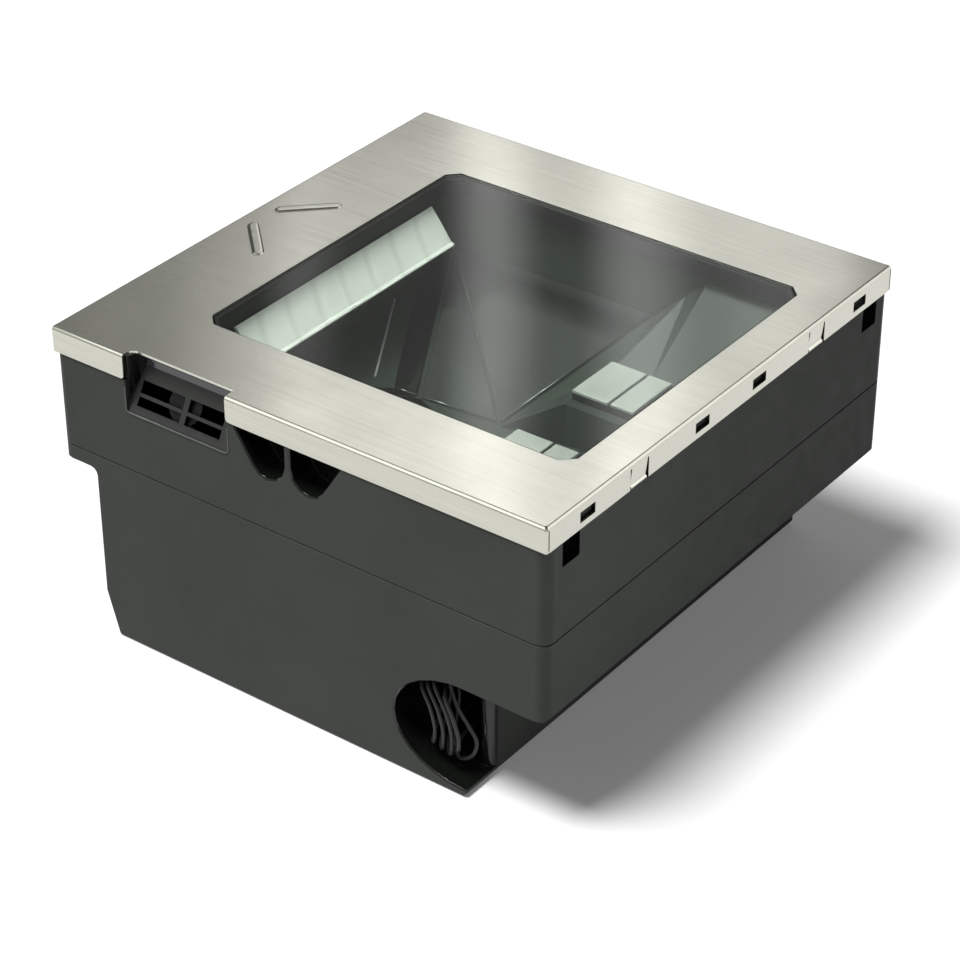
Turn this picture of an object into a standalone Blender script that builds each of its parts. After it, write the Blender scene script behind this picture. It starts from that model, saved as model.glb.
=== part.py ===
"""In-counter presentation barcode scanner: a folded steel cover with a flush glass window over a moulded
two-part housing, which holds faceted fold mirrors, a camera, illumination modules and its electronics.

Frame: +X to the right seen from the front, +Y to the back, +Z up. The origin is under the centre of the
steel plate, on the surface that the scanner stands on. Every size is in millimetres. A value named DROP
is measured down from the plate's upper face, and one named IN or OUT from the edge that its comment names.
"""

import math

import bmesh
import bpy
from mathutils import Vector

MM = 0.001  # one millimetre in metres
CLEAR = 0.3  # gap between two pieces that touch or fit into each other
PAST = 1.0  # how far a cut reaches beyond the face it opens
ROUND = 30  # degrees between the points of a small round

# Overall sizes
PLATE = 292.0  # side of the square plate
UPPER_H = 106.5  # plate's face above the underside of the right overhang
TUB_H = 62.5  # underside of the right overhang above the standing surface

# Steel cover
SHEET = 1.2
FLANGE_DROP = 13.5  # edge of the flanges
BEND_R = 1.7
CORNER_R = 1.0
SEAM = 0.7  # open corner between two flanges
SEAM_IN = 0.1  # from the inner face of the flanges
BORDER_LEFT = 55.3  # steel between the plate's edge and the window cut-out
BORDER_RIGHT = 21.9
BORDER_SIDE = 47.7  # in front of the cut-out and behind it
WINDOW_CHAMFER = 6.3
NOTCH_IN = (46.0, 109.3)  # ends of the notch in the front edge, from the plate's left edge
NOTCH_DEPTH = 7.0
NOTCH_R = 4.0
NOTCH_FOOT_R = 2.0  # rounds where the flange ends at the notch
SLOT_W = 11.5  # rectangular holes in the side flanges
SLOT_H = 5.5
SLOT_DROP = 7.6
SLOT_MID = 24.2  # inner holes from the centre line
SLOT_IN = 30.7  # outer holes from the plate's front and back edges
TAB_W = 12.3  # spring tongues in the side flanges
TAB_IN = 70.8  # from the plate's front and back edges
TAB_SLIT = 1.1
TAB_LEAN = 0.9  # how far the tongue leans in
TAB_CURL = 0.4  # its end behind the flange's face
TAB_ROOT_DROP = 2.0
TAB_FOLD_DROP = 3.2
TAB_KNEE_DROP = 11.0
TAB_SLACK = 1.6  # length of the straight part after the knee
RIB_HIGH = 0.8  # pressed ribs on the plate
RIB_R = 2.4
RIB_GAP = 8.0  # between the two ribs, across the centre line
RIB_IN = (9.0, 34.5)  # from the plate's left edge
RIB_WIDE = 8.5
RIB_RUN = 25.0

# Glass, its seal and the frame that carries it
GLASS = 3.0
GLASS_DROP = 0.4  # glass face below the plate's face
LEDGE = 2.2  # frame under the edge of the glass
FRAME_RIM = 5.0  # frame beyond the cut-out
SEAL_IN = 0.4  # seal behind the frame's edge
STEP_COUNT = 4  # moulded steps on the frame's inner wall
STEP_RUN = 0.45

# Housing
BODY_INSET = 0.5  # housing side behind the edge of the plate
BODY_R = 6.0
WALL = 2.8
NECK_GAP = 1.5  # between flange and housing neck
NECK_WALL = 1.8
NECK_R = 5.0
NECK_DROP = 14.1  # shoulder under the flanges
DECK = 2.5
DECK_GAP = 0.5  # round the window frame
PART_DROP = 64.5  # parting line
PART_GAP = 0.7
LIP_HIGH = 3.0
LIP_WALL = 1.3
SHELF_DROP = 72.4  # underside of the left shelf
TUB_LEFT_IN = 22.9  # tub walls from the plate's edges
TUB_RIGHT_IN = 44.6
TUB_BACK_IN = 4.2
TUB_SLANT = 6.9  # run of the slanted foot of the left wall
TUB_SLANT_Z = 24.7
TUB_Z = 0.8  # underside of the tub, above the feet
TUB_EDGE = 1.5
INNER_R = 4.0

# Recess at the front, with the grille and the indicator
RECESS_IN = (45.0, 111.0)  # its ends, from the plate's left edge
RECESS_TAPER = 5.5
RECESS_DEEP = 12.0
RECESS_LOW_DROP = 31.4
RECESS_TOP_DROP = 9.7
POCKET_WALL = 2.2
GRILLE_IN = (6.0, 32.4, 35.6, 57.5)  # ends of the slots, from the recess's left end
GRILLE_UP = (4.6, 9.3, 11.1, 17.4)  # edges of the slots, up the slope
LENS_IN = (6.5, 59.0)  # ends of the indicator, from the recess's left end
LENS_DROP = (9.0, 4.5)
LENS_PROUD = 0.9
LENS_DEEP = 4.6
INDICATOR_BOARD_DROP = (12.0, 5.5)
SPEAKER_UP = 13.2  # centre of the speaker, up the slope
SPEAKER = ((0.0, 10.0), (2.0, 10.0), (2.0, 8.6), (5.5, 6.0), (5.5, 5.0), (8.5, 5.0))  # depth and radius

# Finger recesses under the front flange, a mirrored pair
FINGER_NEXT = 34.25  # their line of symmetry, from the right end of the recess
FINGER_DEEP = 16.0
FINGER_OUTLINE = (
    (1.75, 7.0), (1.75, 25.5), (3.5, 31.0), (7.5, 34.8), (12.5, 36.2), (17.0, 35.0), (20.5, 31.4),
    (31.0, 15.0), (33.5, 7.0),
)  # across and drop
EDGE_FLARE = 0.8  # chamfer round the mouths of the finger recesses and the alcove

# Pockets for the cover's side hooks
POCKET_IN = 19.1  # from the plate's front and back edges
POCKET_W = 13.0
POCKET_DROP = (27.0, 11.0)
POCKET_DEEP = 6.0

# Cable alcove in the lower right corner of the front
ALCOVE_IN = 1.4  # its centre, from the tub's right side
ALCOVE_A = 41.0
ALCOVE_LOW = 4.0
ALCOVE_UNDER = 0.5  # its top below the overhang
ALCOVE_DEEP = 70.0
NOSE_DEEP = 21.0  # where the right wall begins
ALCOVE_SIDE = 9.4  # right wall beside the alcove
ALCOVE_R = 6.0
ALCOVE_SIDES = 28

# Optical chassis: the dish under the window, the same on both sides of the centre line
RIM_DROP = 14.0
RIM_OUT = (2.3, 3.9, 4.7)  # rim beyond the window cut-out: left, right, front and back
CHASSIS = 2.0
CHASSIS_FLANGE = 12.0  # on the left
CHASSIS_SIDE = 4.0
CHASSIS_END = 1.5  # right end of the flange, from the housing's neck
FOLD_DEEP = 35.0  # top of the rear mirror, below the rim
FOLD_IN = 93.0  # from the right end of the rim, as the other IN values here
TROUGH_DEEP = 67.0
TROUGH_IN = 123.7
TROUGH_HALF = 11.7
CHANNEL_HALF = 17.0
CHANNEL_IN = (88.0, 50.0)
SHELF_DEEP = 43.5
CORNER_IN = 74.3
CORNER_DEEP = 16.4
CORNER_RUN = 12.3
SLOPE_DEEP = 5.0
STRIP_SIDE = 32.3  # from the front and back of the rim
APEX_DEEP = (61.6, 61.0)
APEX_SHARE = (0.39, 0.565)  # places of the two fold points between the left rim and the trough
MIRROR = 1.6
MIRROR_EDGE = 1.0

# Left illumination bar
BAR_SIDE = 25.0  # its ends, from the front and back of the rim
BAR_TOP = (4.1, 0.0)  # diffuser's upper edge from the left rim, and below it
BAR_LOW = (18.7, 18.5)
DIFFUSER = 1.8
BAR_WALL = 1.4
BAR_FOOT = 4.0
BAR_SEAT = (2.2, 6.0, 3.0)  # along the diffuser: where the holder and its hollow begin, and the hollow's end
BAR_BOARD = (9.5, 4.5)  # board ends from the diffuser's upper and lower edge
BAR_BOARD_T = 1.2
BAR_BOARD_LIFT = 2.2

# Right illumination modules
MODULE_AT = (0.6, 21.7, 23.3, 36.7)  # edges of the two diffusers, from the channel's left end
MODULE_Y = (22.6, 57.0)
MODULE_H = 5.8
MODULE_WALL = 1.6
MODULE_FLOOR = 0.8
MODULE_BOARD = 1.0
MODULE_EDGE = 2.0  # shelf beyond the modules

# Camera
CAMERA_UP = 12.0  # above the floor of the trough
BARREL_R = 7.0
BARREL_WALL = 2.0
BARREL_EDGE = 0.6
BARREL_AT = (3.0, 14.0)  # before and behind the end of the channel
MOUNT_HALF = 10.5
MOUNT_DEEP = 9.0
CAMERA_LENS = ((2.0, 0.35), (2.5, 0.75), (3.3, 1.0), (5.6, 1.0))  # depth in the barrel, share of the bore
SENSOR_HALF = 18.0
SENSOR_UP = (14.0, 13.0)  # board below and above the axis
BOARD = 1.6

# Main board on its posts
BOARD_IN = (106.4, 6.4)  # ends, from the tub's right side
BOARD_BEHIND = 18.0  # front edge, behind the alcove
BOARD_BACK_IN = 41.8  # back edge, from the tub's back
BOARD_Z = 12.0
POST_R = 3.5
POST_IN = 8.0
SINK_IN = (75.0, 33.0)  # ends, from the board's right edge
SINK_BACK_IN = (80.0, 34.0)  # from the board's back edge
SINK_H = 14.0
SINK_BASE = 3.0
SINK_FINS = 7

# Jacks, plugs, grommets and cables
JACK_IN = (24.0, 13.5)  # to the left of the alcove's centre
JACK_W = (10.0, 7.0)
JACK_H = 11.0
JACK_ON = 4.0  # on the board
JACK_BACK = 0.6  # face behind the alcove's wall
PLUG_DEEP = 9.0
PLUG_TAPER = 2.5
PLUG_SHARE = (0.78, 0.42)  # of the jack, at the plug's body and at its neck
GROMMET_IN = (32.5, 20.5)
GROMMET_UP = 9.0  # above the alcove's centre
GROMMET_R = 2.4
GROMMET_FLANGE = 1.0
GROMMET_DEEP = (1.4, 3.2)  # flange and end in front of the alcove's wall
CABLE_D = 2.0
CABLE_COUNT = 78  # points along each cable
# Knots of the stowed cables: to the right, behind and above the alcove's middle at the plate's front edge
TURN = (
    (-32.7, 16.5, 14.6), (-30.2, 8.4, 14.2), (-24.2, 6.2, 5.0), (-22.1, 6.2, -5.5),
    (-24.2, 7.4, -14.4), (-30.0, 14.0, -17.8), (-33.8, 23.5, -13.0), (-35.0, 29.5, -2.0),
    (-34.4, 25.5, 9.0),
)  # one turn of the stowed interface cable, from its top
TURN_STEP = (
    (3.3, 0.3, 1.7), (3.5, 0.3, 1.5), (4.2, 0.3, 0.6), (4.6, 0.3, 0.0), (4.8, 0.3, -1.5),
    (4.2, 0.3, -1.7), (3.4, 0.3, -0.8), (3.3, 0.3, 0.0), (3.2, 0.3, 1.0),
)  # from one turn to the next
TURN_KNOT_COUNT = 24
TURN_START = -0.1
INTERFACE_OUT = ((-33.4, 50.0, 10.6), (-34.4, 35.0, 12.6))
INTERFACE_BACK = ((-26.4, 26.0, -18.4), (-26.8, 38.0, -17.2), (-25.0, 50.0, -14.8))
POWER_LOOP = (
    (-22.4, 50.0, 13.0), (-23.6, 35.0, 18.4), (-22.2, 21.0, 21.6), (-17.8, 13.8, 18.8),
    (-12.5, 11.6, 8.6), (-7.1, 13.6, -2.5), (-3.1, 14.8, -11.0), (-4.4, 13.4, -18.4),
    (-10.2, 12.8, -22.4), (-16.6, 16.4, -21.8), (-22.2, 24.0, -15.0), (-24.4, 30.0, -3.0),
    (-24.0, 27.0, 8.8), (-21.6, 17.4, 15.4), (-16.8, 8.6, 13.4), (-11.2, 6.4, 5.6),
    (-7.4, 6.2, -4.4), (-7.7, 6.8, -12.6), (-12.4, 11.6, -15.6), (-15.6, 22.0, -15.6),
    (-15.2, 36.0, -15.4), (-14.0, 48.0, -14.2),
)  # the power cable between its ends
CABLE_LEAD = 3.5  # straight cable at each end

# Screws, bosses and feet
SCREW_R = 1.5
SCREW_HOLE_R = 1.8
SCREW_EDGE = 0.5
HEAD_R = 3.0
HEAD_H = 2.0
BOSS_R = 4.5
SCREW_DEEP = 12.0  # holes of the housing screws in the upper housing
SCREW_SPARE = 2.0
CHASSIS_SCREW_REACH = 6.0
SCREW_IN = (13.0, 21.0, 16.0)  # housing screws from the left, the right, and the front and back edges
CHASSIS_SCREW_OUT = (9.8, 11.4)  # from the left and right of the window cut-out
CHASSIS_SCREW_SIDE = 8.3  # inside the front and back of the cut-out
FOOT_R = 9.0
FOOT_H = 1.7
FOOT_EDGE = 0.8
FOOT_LEFT = 25.1  # left feet from the tub's left wall
FOOT_FRONT = 24.0  # front feet from the plate's front edge
FOOT_BACK = 23.8  # back feet from the tub's back
FOOT_RIGHT = 21.4  # right back foot from the tub's right side
FOOT_ALCOVE = 58.0  # right front foot, to the left of the alcove's centre

PLATE_TOP = TUB_H + UPPER_H
HALF = PLATE / 2
BODY = HALF - BODY_INSET
FLANGE_Z = PLATE_TOP - FLANGE_DROP
NECK = HALF - SHEET - NECK_GAP
NECK_Z = PLATE_TOP - NECK_DROP
DECK_TOP = PLATE_TOP - SHEET - CLEAR
DECK_Z = DECK_TOP - DECK
WINDOW = (-HALF + BORDER_LEFT, HALF - BORDER_RIGHT, -HALF + BORDER_SIDE, HALF - BORDER_SIDE)
GLASS_TOP = PLATE_TOP - GLASS_DROP
FRAME_TOP = GLASS_TOP - GLASS - CLEAR
PART_Z = PLATE_TOP - PART_DROP
PART_LOW = PART_Z - PART_GAP / 2
PART_HIGH = PART_Z + PART_GAP / 2
SHELF_Z = PLATE_TOP - SHELF_DROP
TUB_LEFT = -HALF + TUB_LEFT_IN
TUB_RIGHT = HALF - TUB_RIGHT_IN
TUB_BACK = HALF - TUB_BACK_IN
NOTCH = tuple(-HALF + x for x in NOTCH_IN)
RECESS = tuple(-HALF + x for x in RECESS_IN)
RECESS_Y = -HALF + RECESS_DEEP
FINGER_X = RECESS[1] + FINGER_NEXT
LENS_X = tuple(RECESS[0] + x for x in LENS_IN)
LENS_Z = tuple(PLATE_TOP - drop for drop in LENS_DROP)
ALCOVE_X = TUB_RIGHT - ALCOVE_IN
ALCOVE_B = (TUB_H - ALCOVE_UNDER - ALCOVE_LOW) / 2
ALCOVE_Z = ALCOVE_LOW + ALCOVE_B
ALCOVE_Y = -HALF + ALCOVE_DEEP
RIM_Z = PLATE_TOP - RIM_DROP
RIM = (WINDOW[0] - RIM_OUT[0], WINDOW[1] + RIM_OUT[1], WINDOW[2] - RIM_OUT[2], WINDOW[3] + RIM_OUT[2])
RIM_LEFT, RIM_RIGHT, RIM_Y = RIM[0], RIM[1], RIM[3]
SHELF_TOP = RIM_Z - SHELF_DEEP
CHANNEL_X = tuple(RIM_RIGHT - x for x in CHANNEL_IN)
MODULE_X = tuple(CHANNEL_X[0] + x for x in MODULE_AT)
CAMERA_Z = RIM_Z - TROUGH_DEEP + CAMERA_UP
BAR_HALF = RIM_Y - BAR_SIDE
BOARD_X = tuple(TUB_RIGHT - x for x in BOARD_IN)
BOARD_Y = (ALCOVE_Y + BOARD_BEHIND, TUB_BACK - BOARD_BACK_IN)
BOARD_TOP = BOARD_Z + BOARD
JACK_X = tuple(ALCOVE_X - x for x in JACK_IN)
GROMMET_X = tuple(ALCOVE_X - x for x in GROMMET_IN)
GROMMET_Z = ALCOVE_Z + GROMMET_UP
HOUSING_SCREWS = [
    (x, y) for x in (-HALF + SCREW_IN[0], HALF - SCREW_IN[1])
    for y in (-HALF + SCREW_IN[2], HALF - SCREW_IN[2])
]
CHASSIS_SCREWS = [
    (x, y) for x in (WINDOW[0] - CHASSIS_SCREW_OUT[0], WINDOW[1] + CHASSIS_SCREW_OUT[1])
    for y in (WINDOW[2] + CHASSIS_SCREW_SIDE, WINDOW[3] - CHASSIS_SCREW_SIDE)
]
FEET = (
    (TUB_LEFT + FOOT_LEFT, -HALF + FOOT_FRONT), (TUB_LEFT + FOOT_LEFT, TUB_BACK - FOOT_BACK),
    (TUB_RIGHT - FOOT_RIGHT, TUB_BACK - FOOT_BACK), (ALCOVE_X - FOOT_ALCOVE, -HALF + FOOT_FRONT),
)


def colour(hex_code):
    """Linear RGBA of an sRGB hex colour."""
    channels = [int(hex_code[i:i + 2], 16) / 255 for i in (0, 2, 4)]
    return [c / 12.92 if c <= 0.04045 else ((c + 0.055) / 1.055) ** 2.4 for c in channels] + [1.0]


def finish(name, hex_code, roughness, metallic=0.0, transmission=0.0):
    """A Principled material."""
    material = bpy.data.materials.new(name)
    material.use_nodes = True
    shader = material.node_tree.nodes["Principled BSDF"]
    shader.inputs["Base Color"].default_value = colour(hex_code)
    shader.inputs["Roughness"].default_value = roughness
    shader.inputs["Metallic"].default_value = metallic
    shader.inputs["Transmission Weight"].default_value = transmission
    return material


def finishes():
    """The materials of the scanner, by name."""
    return {
        "steel": finish("brushed_steel", "c2c0b8", 0.3, 1.0),
        "glass": finish("window_glass", "e6eeea", 0.03, 0.0, 1.0),
        "rubber": finish("black_rubber", "141514", 0.8),
        "frame": finish("black_moulding", "1a1b1a", 0.5),
        "housing": finish("dark_grey_moulding", "454845", 0.55),
        "chassis": finish("chassis_moulding", "2e322f", 0.5),
        "mirror": finish("fold_mirror", "6f7672", 0.2, 1.0),
        "diffuser": finish("milky_diffuser", "b8c3b9", 0.5),
        "board": finish("circuit_board", "1f4a33", 0.5),
        "alloy": finish("machined_alloy", "8d8f90", 0.4, 1.0),
        "lens": finish("smoked_lens", "20242c", 0.15),
        "cable": finish("cable_jacket", "2b2d2b", 0.6),
        "screw": finish("zinc_screw", "9a9a96", 0.35, 1.0),
    }


def linked(name, body):
    """The object of a finished bmesh."""
    mesh = bpy.data.meshes.new(name)
    body.to_mesh(mesh)
    body.free()
    obj = bpy.data.objects.new(name, mesh)
    bpy.context.scene.collection.objects.link(obj)
    return obj


def solid(name, rings):
    """A closed object through rings of points, each ring with as many points as the next."""
    body = bmesh.new()
    loops = [[body.verts.new(Vector(p) * MM) for p in ring] for ring in rings]
    for lower, upper in zip(loops, loops[1:]):
        for i, corner in enumerate(lower):
            after = (i + 1) % len(lower)
            body.faces.new((corner, lower[after], upper[after], upper[i]))
    body.faces.new(reversed(loops[0]))
    body.faces.new(loops[-1])
    bmesh.ops.recalc_face_normals(body, faces=body.faces)
    return linked(name, body)


def prism(name, outline, low, high, axis="Z"):
    """A flat outline carried along an axis: outline is (x, y), or (x, z) along Y, or (y, z) along X."""
    places = {
        "Z": lambda a, b, c: (a, b, c),
        "Y": lambda a, b, c: (a, c, b),
        "X": lambda a, b, c: (c, a, b),
    }[axis]
    return solid(name, [[places(a, b, c) for a, b in outline] for c in (low, high)])


def rectangle(left, right, front, back, radius=0.0, steps=3):
    """The outline of a rectangle with round corners."""
    if radius <= 0:
        return [(left, front), (right, front), (right, back), (left, back)]
    centres = (
        (right - radius, front + radius, -90), (right - radius, back - radius, 0),
        (left + radius, back - radius, 90), (left + radius, front + radius, 180),
    )
    return [
        (
            x + radius * math.cos(math.radians(start + 90 * i / steps)),
            y + radius * math.sin(math.radians(start + 90 * i / steps)),
        )
        for x, y, start in centres for i in range(steps + 1)
    ]


def square(half, radius=0.0, steps=3):
    """The outline of a square round the centre."""
    return rectangle(-half, half, -half, half, radius, steps)


def grown(box, by):
    """A (left, right, front, back) box moved outwards on every side."""
    return box[0] - by, box[1] + by, box[2] - by, box[3] + by


def octagon(box, chamfer=WINDOW_CHAMFER):
    """The outline of a rectangle with cut corners."""
    left, right, front, back = box
    return [
        (left + chamfer, front), (right - chamfer, front), (right, front + chamfer), (right, back - chamfer),
        (right - chamfer, back), (left + chamfer, back), (left, back - chamfer), (left, front + chamfer),
    ]


def circle(x, y, radius, sides=12, start=0.0, end=360.0):
    """Points round a circle or, with start and end, along an arc that includes both ends."""
    whole = end - start == 360.0
    steps = sides if whole else sides - 1
    turn = [math.radians(start + (end - start) * i / steps) for i in range(sides)]
    return [(x + radius * math.cos(a), y + radius * math.sin(a)) for a in turn]


def block(name, x, y, z):
    """A box between two places on each axis."""
    return prism(name, rectangle(x[0], x[1], y[0], y[1]), z[0], z[1])


def combined(body, tools, operation="DIFFERENCE"):
    """Applies a Boolean with each tool in turn to the body, and removes the tools."""
    for tool in tools:
        step = body.modifiers.new(operation.title(), "BOOLEAN")
        step.operation = operation
        step.solver = "EXACT"
        step.object = tool
        bpy.context.view_layer.update()
        evaluated = body.evaluated_get(bpy.context.evaluated_depsgraph_get())
        mesh = bpy.data.meshes.new_from_object(evaluated)
        body.modifiers.clear()
        body.data = mesh
        bpy.data.objects.remove(tool, do_unlink=True)
    return body


def cut(body, *tools):
    """The body less each tool."""
    return combined(body, tools)


def joined(body, *tools):
    """The body with each tool added."""
    return combined(body, tools, "UNION")


def common(body, *tools):
    """What the body shares with each tool."""
    return combined(body, tools, "INTERSECT")


def dressed(obj, look, smooth=False):
    """Gives an object its material, and smooth shading on a round piece."""
    obj.data.materials.clear()
    obj.data.materials.append(look)
    if smooth:
        obj.data.shade_smooth()
        obj.data.set_sharp_from_angle(angle=math.radians(35))
    return obj


def held_in(points, normal, inset):
    """The corners of a flat facet moved inwards from each of its edges."""
    moved = []
    for before, here, after in zip(points[-1:] + points[:-1], points, points[1:] + points[:1]):
        arrive = normal.cross((here - before).normalized())
        leave = normal.cross((after - here).normalized())
        inward = (arrive + leave).normalized()
        moved.append(here + inward * inset / inward.dot(leave))
    return moved


def rounded(points, radius, steps=3):
    """The corners of a flat facet, each replaced by the points of an arc."""
    outline = []
    for before, here, after in zip(points[-1:] + points[:-1], points, points[1:] + points[:1]):
        arrive = (before - here).normalized()
        leave = (after - here).normalized()
        half = arrive.angle(leave) / 2
        centre = here + (arrive + leave).normalized() * radius / math.sin(half)
        reach = radius / math.tan(half)
        first, last = here + arrive * reach - centre, here + leave * reach - centre
        outline += [centre + first.lerp(last, i / steps).normalized() * radius for i in range(steps + 1)]
    return outline


def plate_on(name, corners, inset, gap, thickness):
    """A flat plate over a facet, held in from the facet's edges and lifted off it by a gap."""
    points = [Vector(c) for c in corners]
    normal = sum(
        (a.cross(b) for a, b in zip(points, points[1:] + points[:1])), Vector()
    ).normalized()
    if normal.z < 0:
        points.reverse()
        normal.negate()
    centre = sum(points, Vector()) / len(points)
    points = held_in([p - normal * (p - centre).dot(normal) for p in points], normal, inset)
    return solid(name, [[p + normal * h for p in points] for h in (gap, gap + thickness)])


def mirrored_outline(outline, about=0.0):
    """An outline reflected in a line, running the other way round."""
    return [(2 * about - a, b) for a, b in reversed(outline)]


SIDES = (1, -1)  # the right side and the left, or the back and the front


# Steel cover


def tongue(side, y):
    """One spring tongue, bent in towards the housing and curled out at its end."""
    face = HALF
    back = HALF - SHEET
    low = NECK_Z + CLEAR
    root, fold, knee = (PLATE_TOP - drop for drop in (TAB_ROOT_DROP, TAB_FOLD_DROP, TAB_KNEE_DROP))
    profile = [
        (face, root), (back, root), (back, fold), (back - TAB_LEAN, knee),
        (back - TAB_LEAN, knee - TAB_SLACK), (face - TAB_CURL, low), (face - TAB_CURL / 4, low + PAST),
        (face - TAB_LEAN, knee - PAST), (face - TAB_LEAN, knee), (face, fold),
    ]
    rings = [[(side * x, y + along, z) for x, z in profile] for along in (-TAB_W / 2, TAB_W / 2)]
    return solid("tongue", rings)


def pressed_rib(way):
    """One of the two raised ribs, a slanted bar with round corners and a soft edge."""
    near, far = (-HALF + x for x in RIB_IN)
    start = way * RIB_GAP / 2
    end = start + way * RIB_RUN
    wide = way * RIB_WIDE
    foot = [Vector(p + (0,)) for p in ((near, start), (far, end), (far, end + wide), (near, start + wide))]
    if way < 0:
        foot.reverse()
    rings = []
    for inset, share in ((0.0, -SHEET / 2 / RIB_HIGH), (0.0, 0.0), (0.25, 0.5), (0.8, 0.87), (1.7, 1.0)):
        corners = held_in(foot, Vector((0, 0, 1)), inset)
        lift = Vector((0, 0, PLATE_TOP + RIB_HIGH * share))
        rings.append([p + lift for p in rounded(corners, RIB_R - inset)])
    return solid("rib", rings)


def notch_tool():
    """What the notch takes out of the plate's front edge, with a round inner corner."""
    back = -HALF + NOTCH_DEPTH
    left, right = NOTCH
    outline = [(left, -HALF - PAST), (right, -HALF - PAST), (right, back)]
    outline += circle(left + NOTCH_R, back - NOTCH_R, NOTCH_R, 5, 90, 180)
    return prism("notch", outline, FLANGE_Z - PAST, PLATE_TOP + PAST)


def notch_ends():
    """The small rounds at the foot of the flange on both sides of the notch."""
    radius = NOTCH_FOOT_R
    low, off = FLANGE_Z - PAST / 2, PAST / 2
    for edge, way in zip(NOTCH, (-1, 1)):
        outline = [(edge, low), (edge - way * off, low), (edge - way * off, FLANGE_Z + radius)]
        for turn in range(0, 91, ROUND):
            a = math.radians(turn)
            outline.append((
                edge + way * radius * (1 - math.cos(a)), FLANGE_Z + radius * (1 - math.sin(a)),
            ))
        outline.append((edge + way * radius, low))
        yield prism("notch_end", outline, -HALF - PAST, -HALF + SHEET + off, "Y")


def make_cover(look):
    """The folded sheet: plate, flanges with open corners, window, notch, slots, tongues and ribs."""
    def shell(half, low, top, radius):
        rings = [[(x, y, low) for x, y in square(half, CORNER_R, 1)]]
        for turn in range(0, 91, ROUND):
            a = math.radians(turn)
            side, height = half - radius * (1 - math.cos(a)), top - radius * (1 - math.sin(a))
            rings.append([(x, y, height) for x, y in square(side, CORNER_R, 1)])
        return rings

    cover = solid("top_cover", shell(HALF, FLANGE_Z, PLATE_TOP, BEND_R))
    inside = solid("inside", shell(HALF - SHEET, FLANGE_Z - PAST, PLATE_TOP - SHEET, BEND_R - SHEET))
    window = prism("window", octagon(WINDOW), PLATE_TOP - SHEET - PAST, PLATE_TOP + PAST)
    cut(cover, inside, window, notch_tool(), *notch_ends())
    tools = []
    slot_z = PLATE_TOP - SLOT_DROP
    gap_top = PLATE_TOP - (TAB_ROOT_DROP + TAB_FOLD_DROP) / 2
    tabs = [(side, y) for side in SIDES for y in (HALF - TAB_IN, -HALF + TAB_IN)]
    low = FLANGE_Z - PAST
    for side in SIDES:
        edge = sorted((side * (HALF - SHEET - CLEAR - SEAM_IN), side * (HALF + PAST)))
        for y in (SLOT_MID, HALF - SLOT_IN, -SLOT_MID, SLOT_IN - HALF):
            tools.append(block("slot", edge, (y - SLOT_W / 2, y + SLOT_W / 2),
                               (slot_z - SLOT_H / 2, slot_z + SLOT_H / 2)))
        for end in SIDES:
            inner = HALF - SHEET - SEAM_IN
            place = sorted((end * (inner - SEAM), end * inner))
            tools.append(block("seam", edge, place, (low, PLATE_TOP - BEND_R)))
    for side, y in tabs:
        edge = sorted((side * (HALF - SHEET - CLEAR - SEAM_IN), side * (HALF + PAST)))
        reach = TAB_W / 2 + TAB_SLIT
        tools.append(block("tab_gap", edge, (y - reach, y + reach), (low, gap_top)))
    cut(cover, *tools)
    joined(cover, *[tongue(side, y) for side, y in tabs])
    joined(cover, pressed_rib(1), pressed_rib(-1))
    return dressed(cover, look["steel"])


# Glass, seal and frame


def make_window(look):
    """The glass in the cut-out, the seal round it and the black frame that carries both."""
    pane = prism("window_glass", octagon(grown(WINDOW, -CLEAR)), GLASS_TOP - GLASS, GLASS_TOP)
    dressed(pane, look["glass"])

    seal_low, seal_top = FRAME_TOP + CLEAR, PLATE_TOP - SHEET - CLEAR
    seal = prism("window_gasket", octagon(grown(WINDOW, FRAME_RIM - SEAL_IN)), seal_low, seal_top)
    hole = prism("hole", octagon(WINDOW), seal_low - PAST, seal_top + PAST)
    dressed(cut(seal, hole), look["rubber"])

    frame = prism("window_frame", octagon(grown(WINDOW, FRAME_RIM)), RIM_Z + CLEAR, FRAME_TOP)
    inner = grown(WINDOW, -LEDGE)
    rings = [[(x, y, FRAME_TOP + PAST) for x, y in octagon(inner)]]
    height = (FRAME_TOP - RIM_Z) / (STEP_COUNT + 1)
    for i in range(STEP_COUNT):
        z = FRAME_TOP - height * (i + 1)
        for back in (i, i + 1):
            rings.append([(x, y, z) for x, y in octagon(grown(inner, STEP_RUN * back))])
    rings.append([(x, y, RIM_Z - PAST) for x, y in octagon(grown(inner, STEP_RUN * STEP_COUNT))])
    dressed(cut(frame, solid("opening", rings)), look["frame"])


# Housing


def slope_axes():
    """Foot of the recess's slope, the way up it and the way into it, in the YZ plane."""
    foot = Vector((0.0, -BODY, PLATE_TOP - RECESS_LOW_DROP))
    top = Vector((0.0, RECESS_Y, PLATE_TOP - RECESS_TOP_DROP))
    up = (top - foot).normalized()
    return foot, up, Vector((0.0, up.z, -up.y))


def recess(name, grow, front):
    """The recess at the front, or the moulded wall round it where grow is its thickness."""
    foot, up, inward = slope_axes()
    low = foot + inward * grow
    rings = []
    for y, taper in ((front, 0.0), (RECESS_Y + grow, RECESS_TAPER)):
        z = low.z + (y - low.y) * up.z / up.y
        left, right = RECESS[0] + taper - grow, RECESS[1] - taper + grow
        top = DECK_TOP + PAST
        rings.append([(left, y, z), (right, y, z), (right, y, top), (left, y, top)])
    return solid(name, rings)


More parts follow.
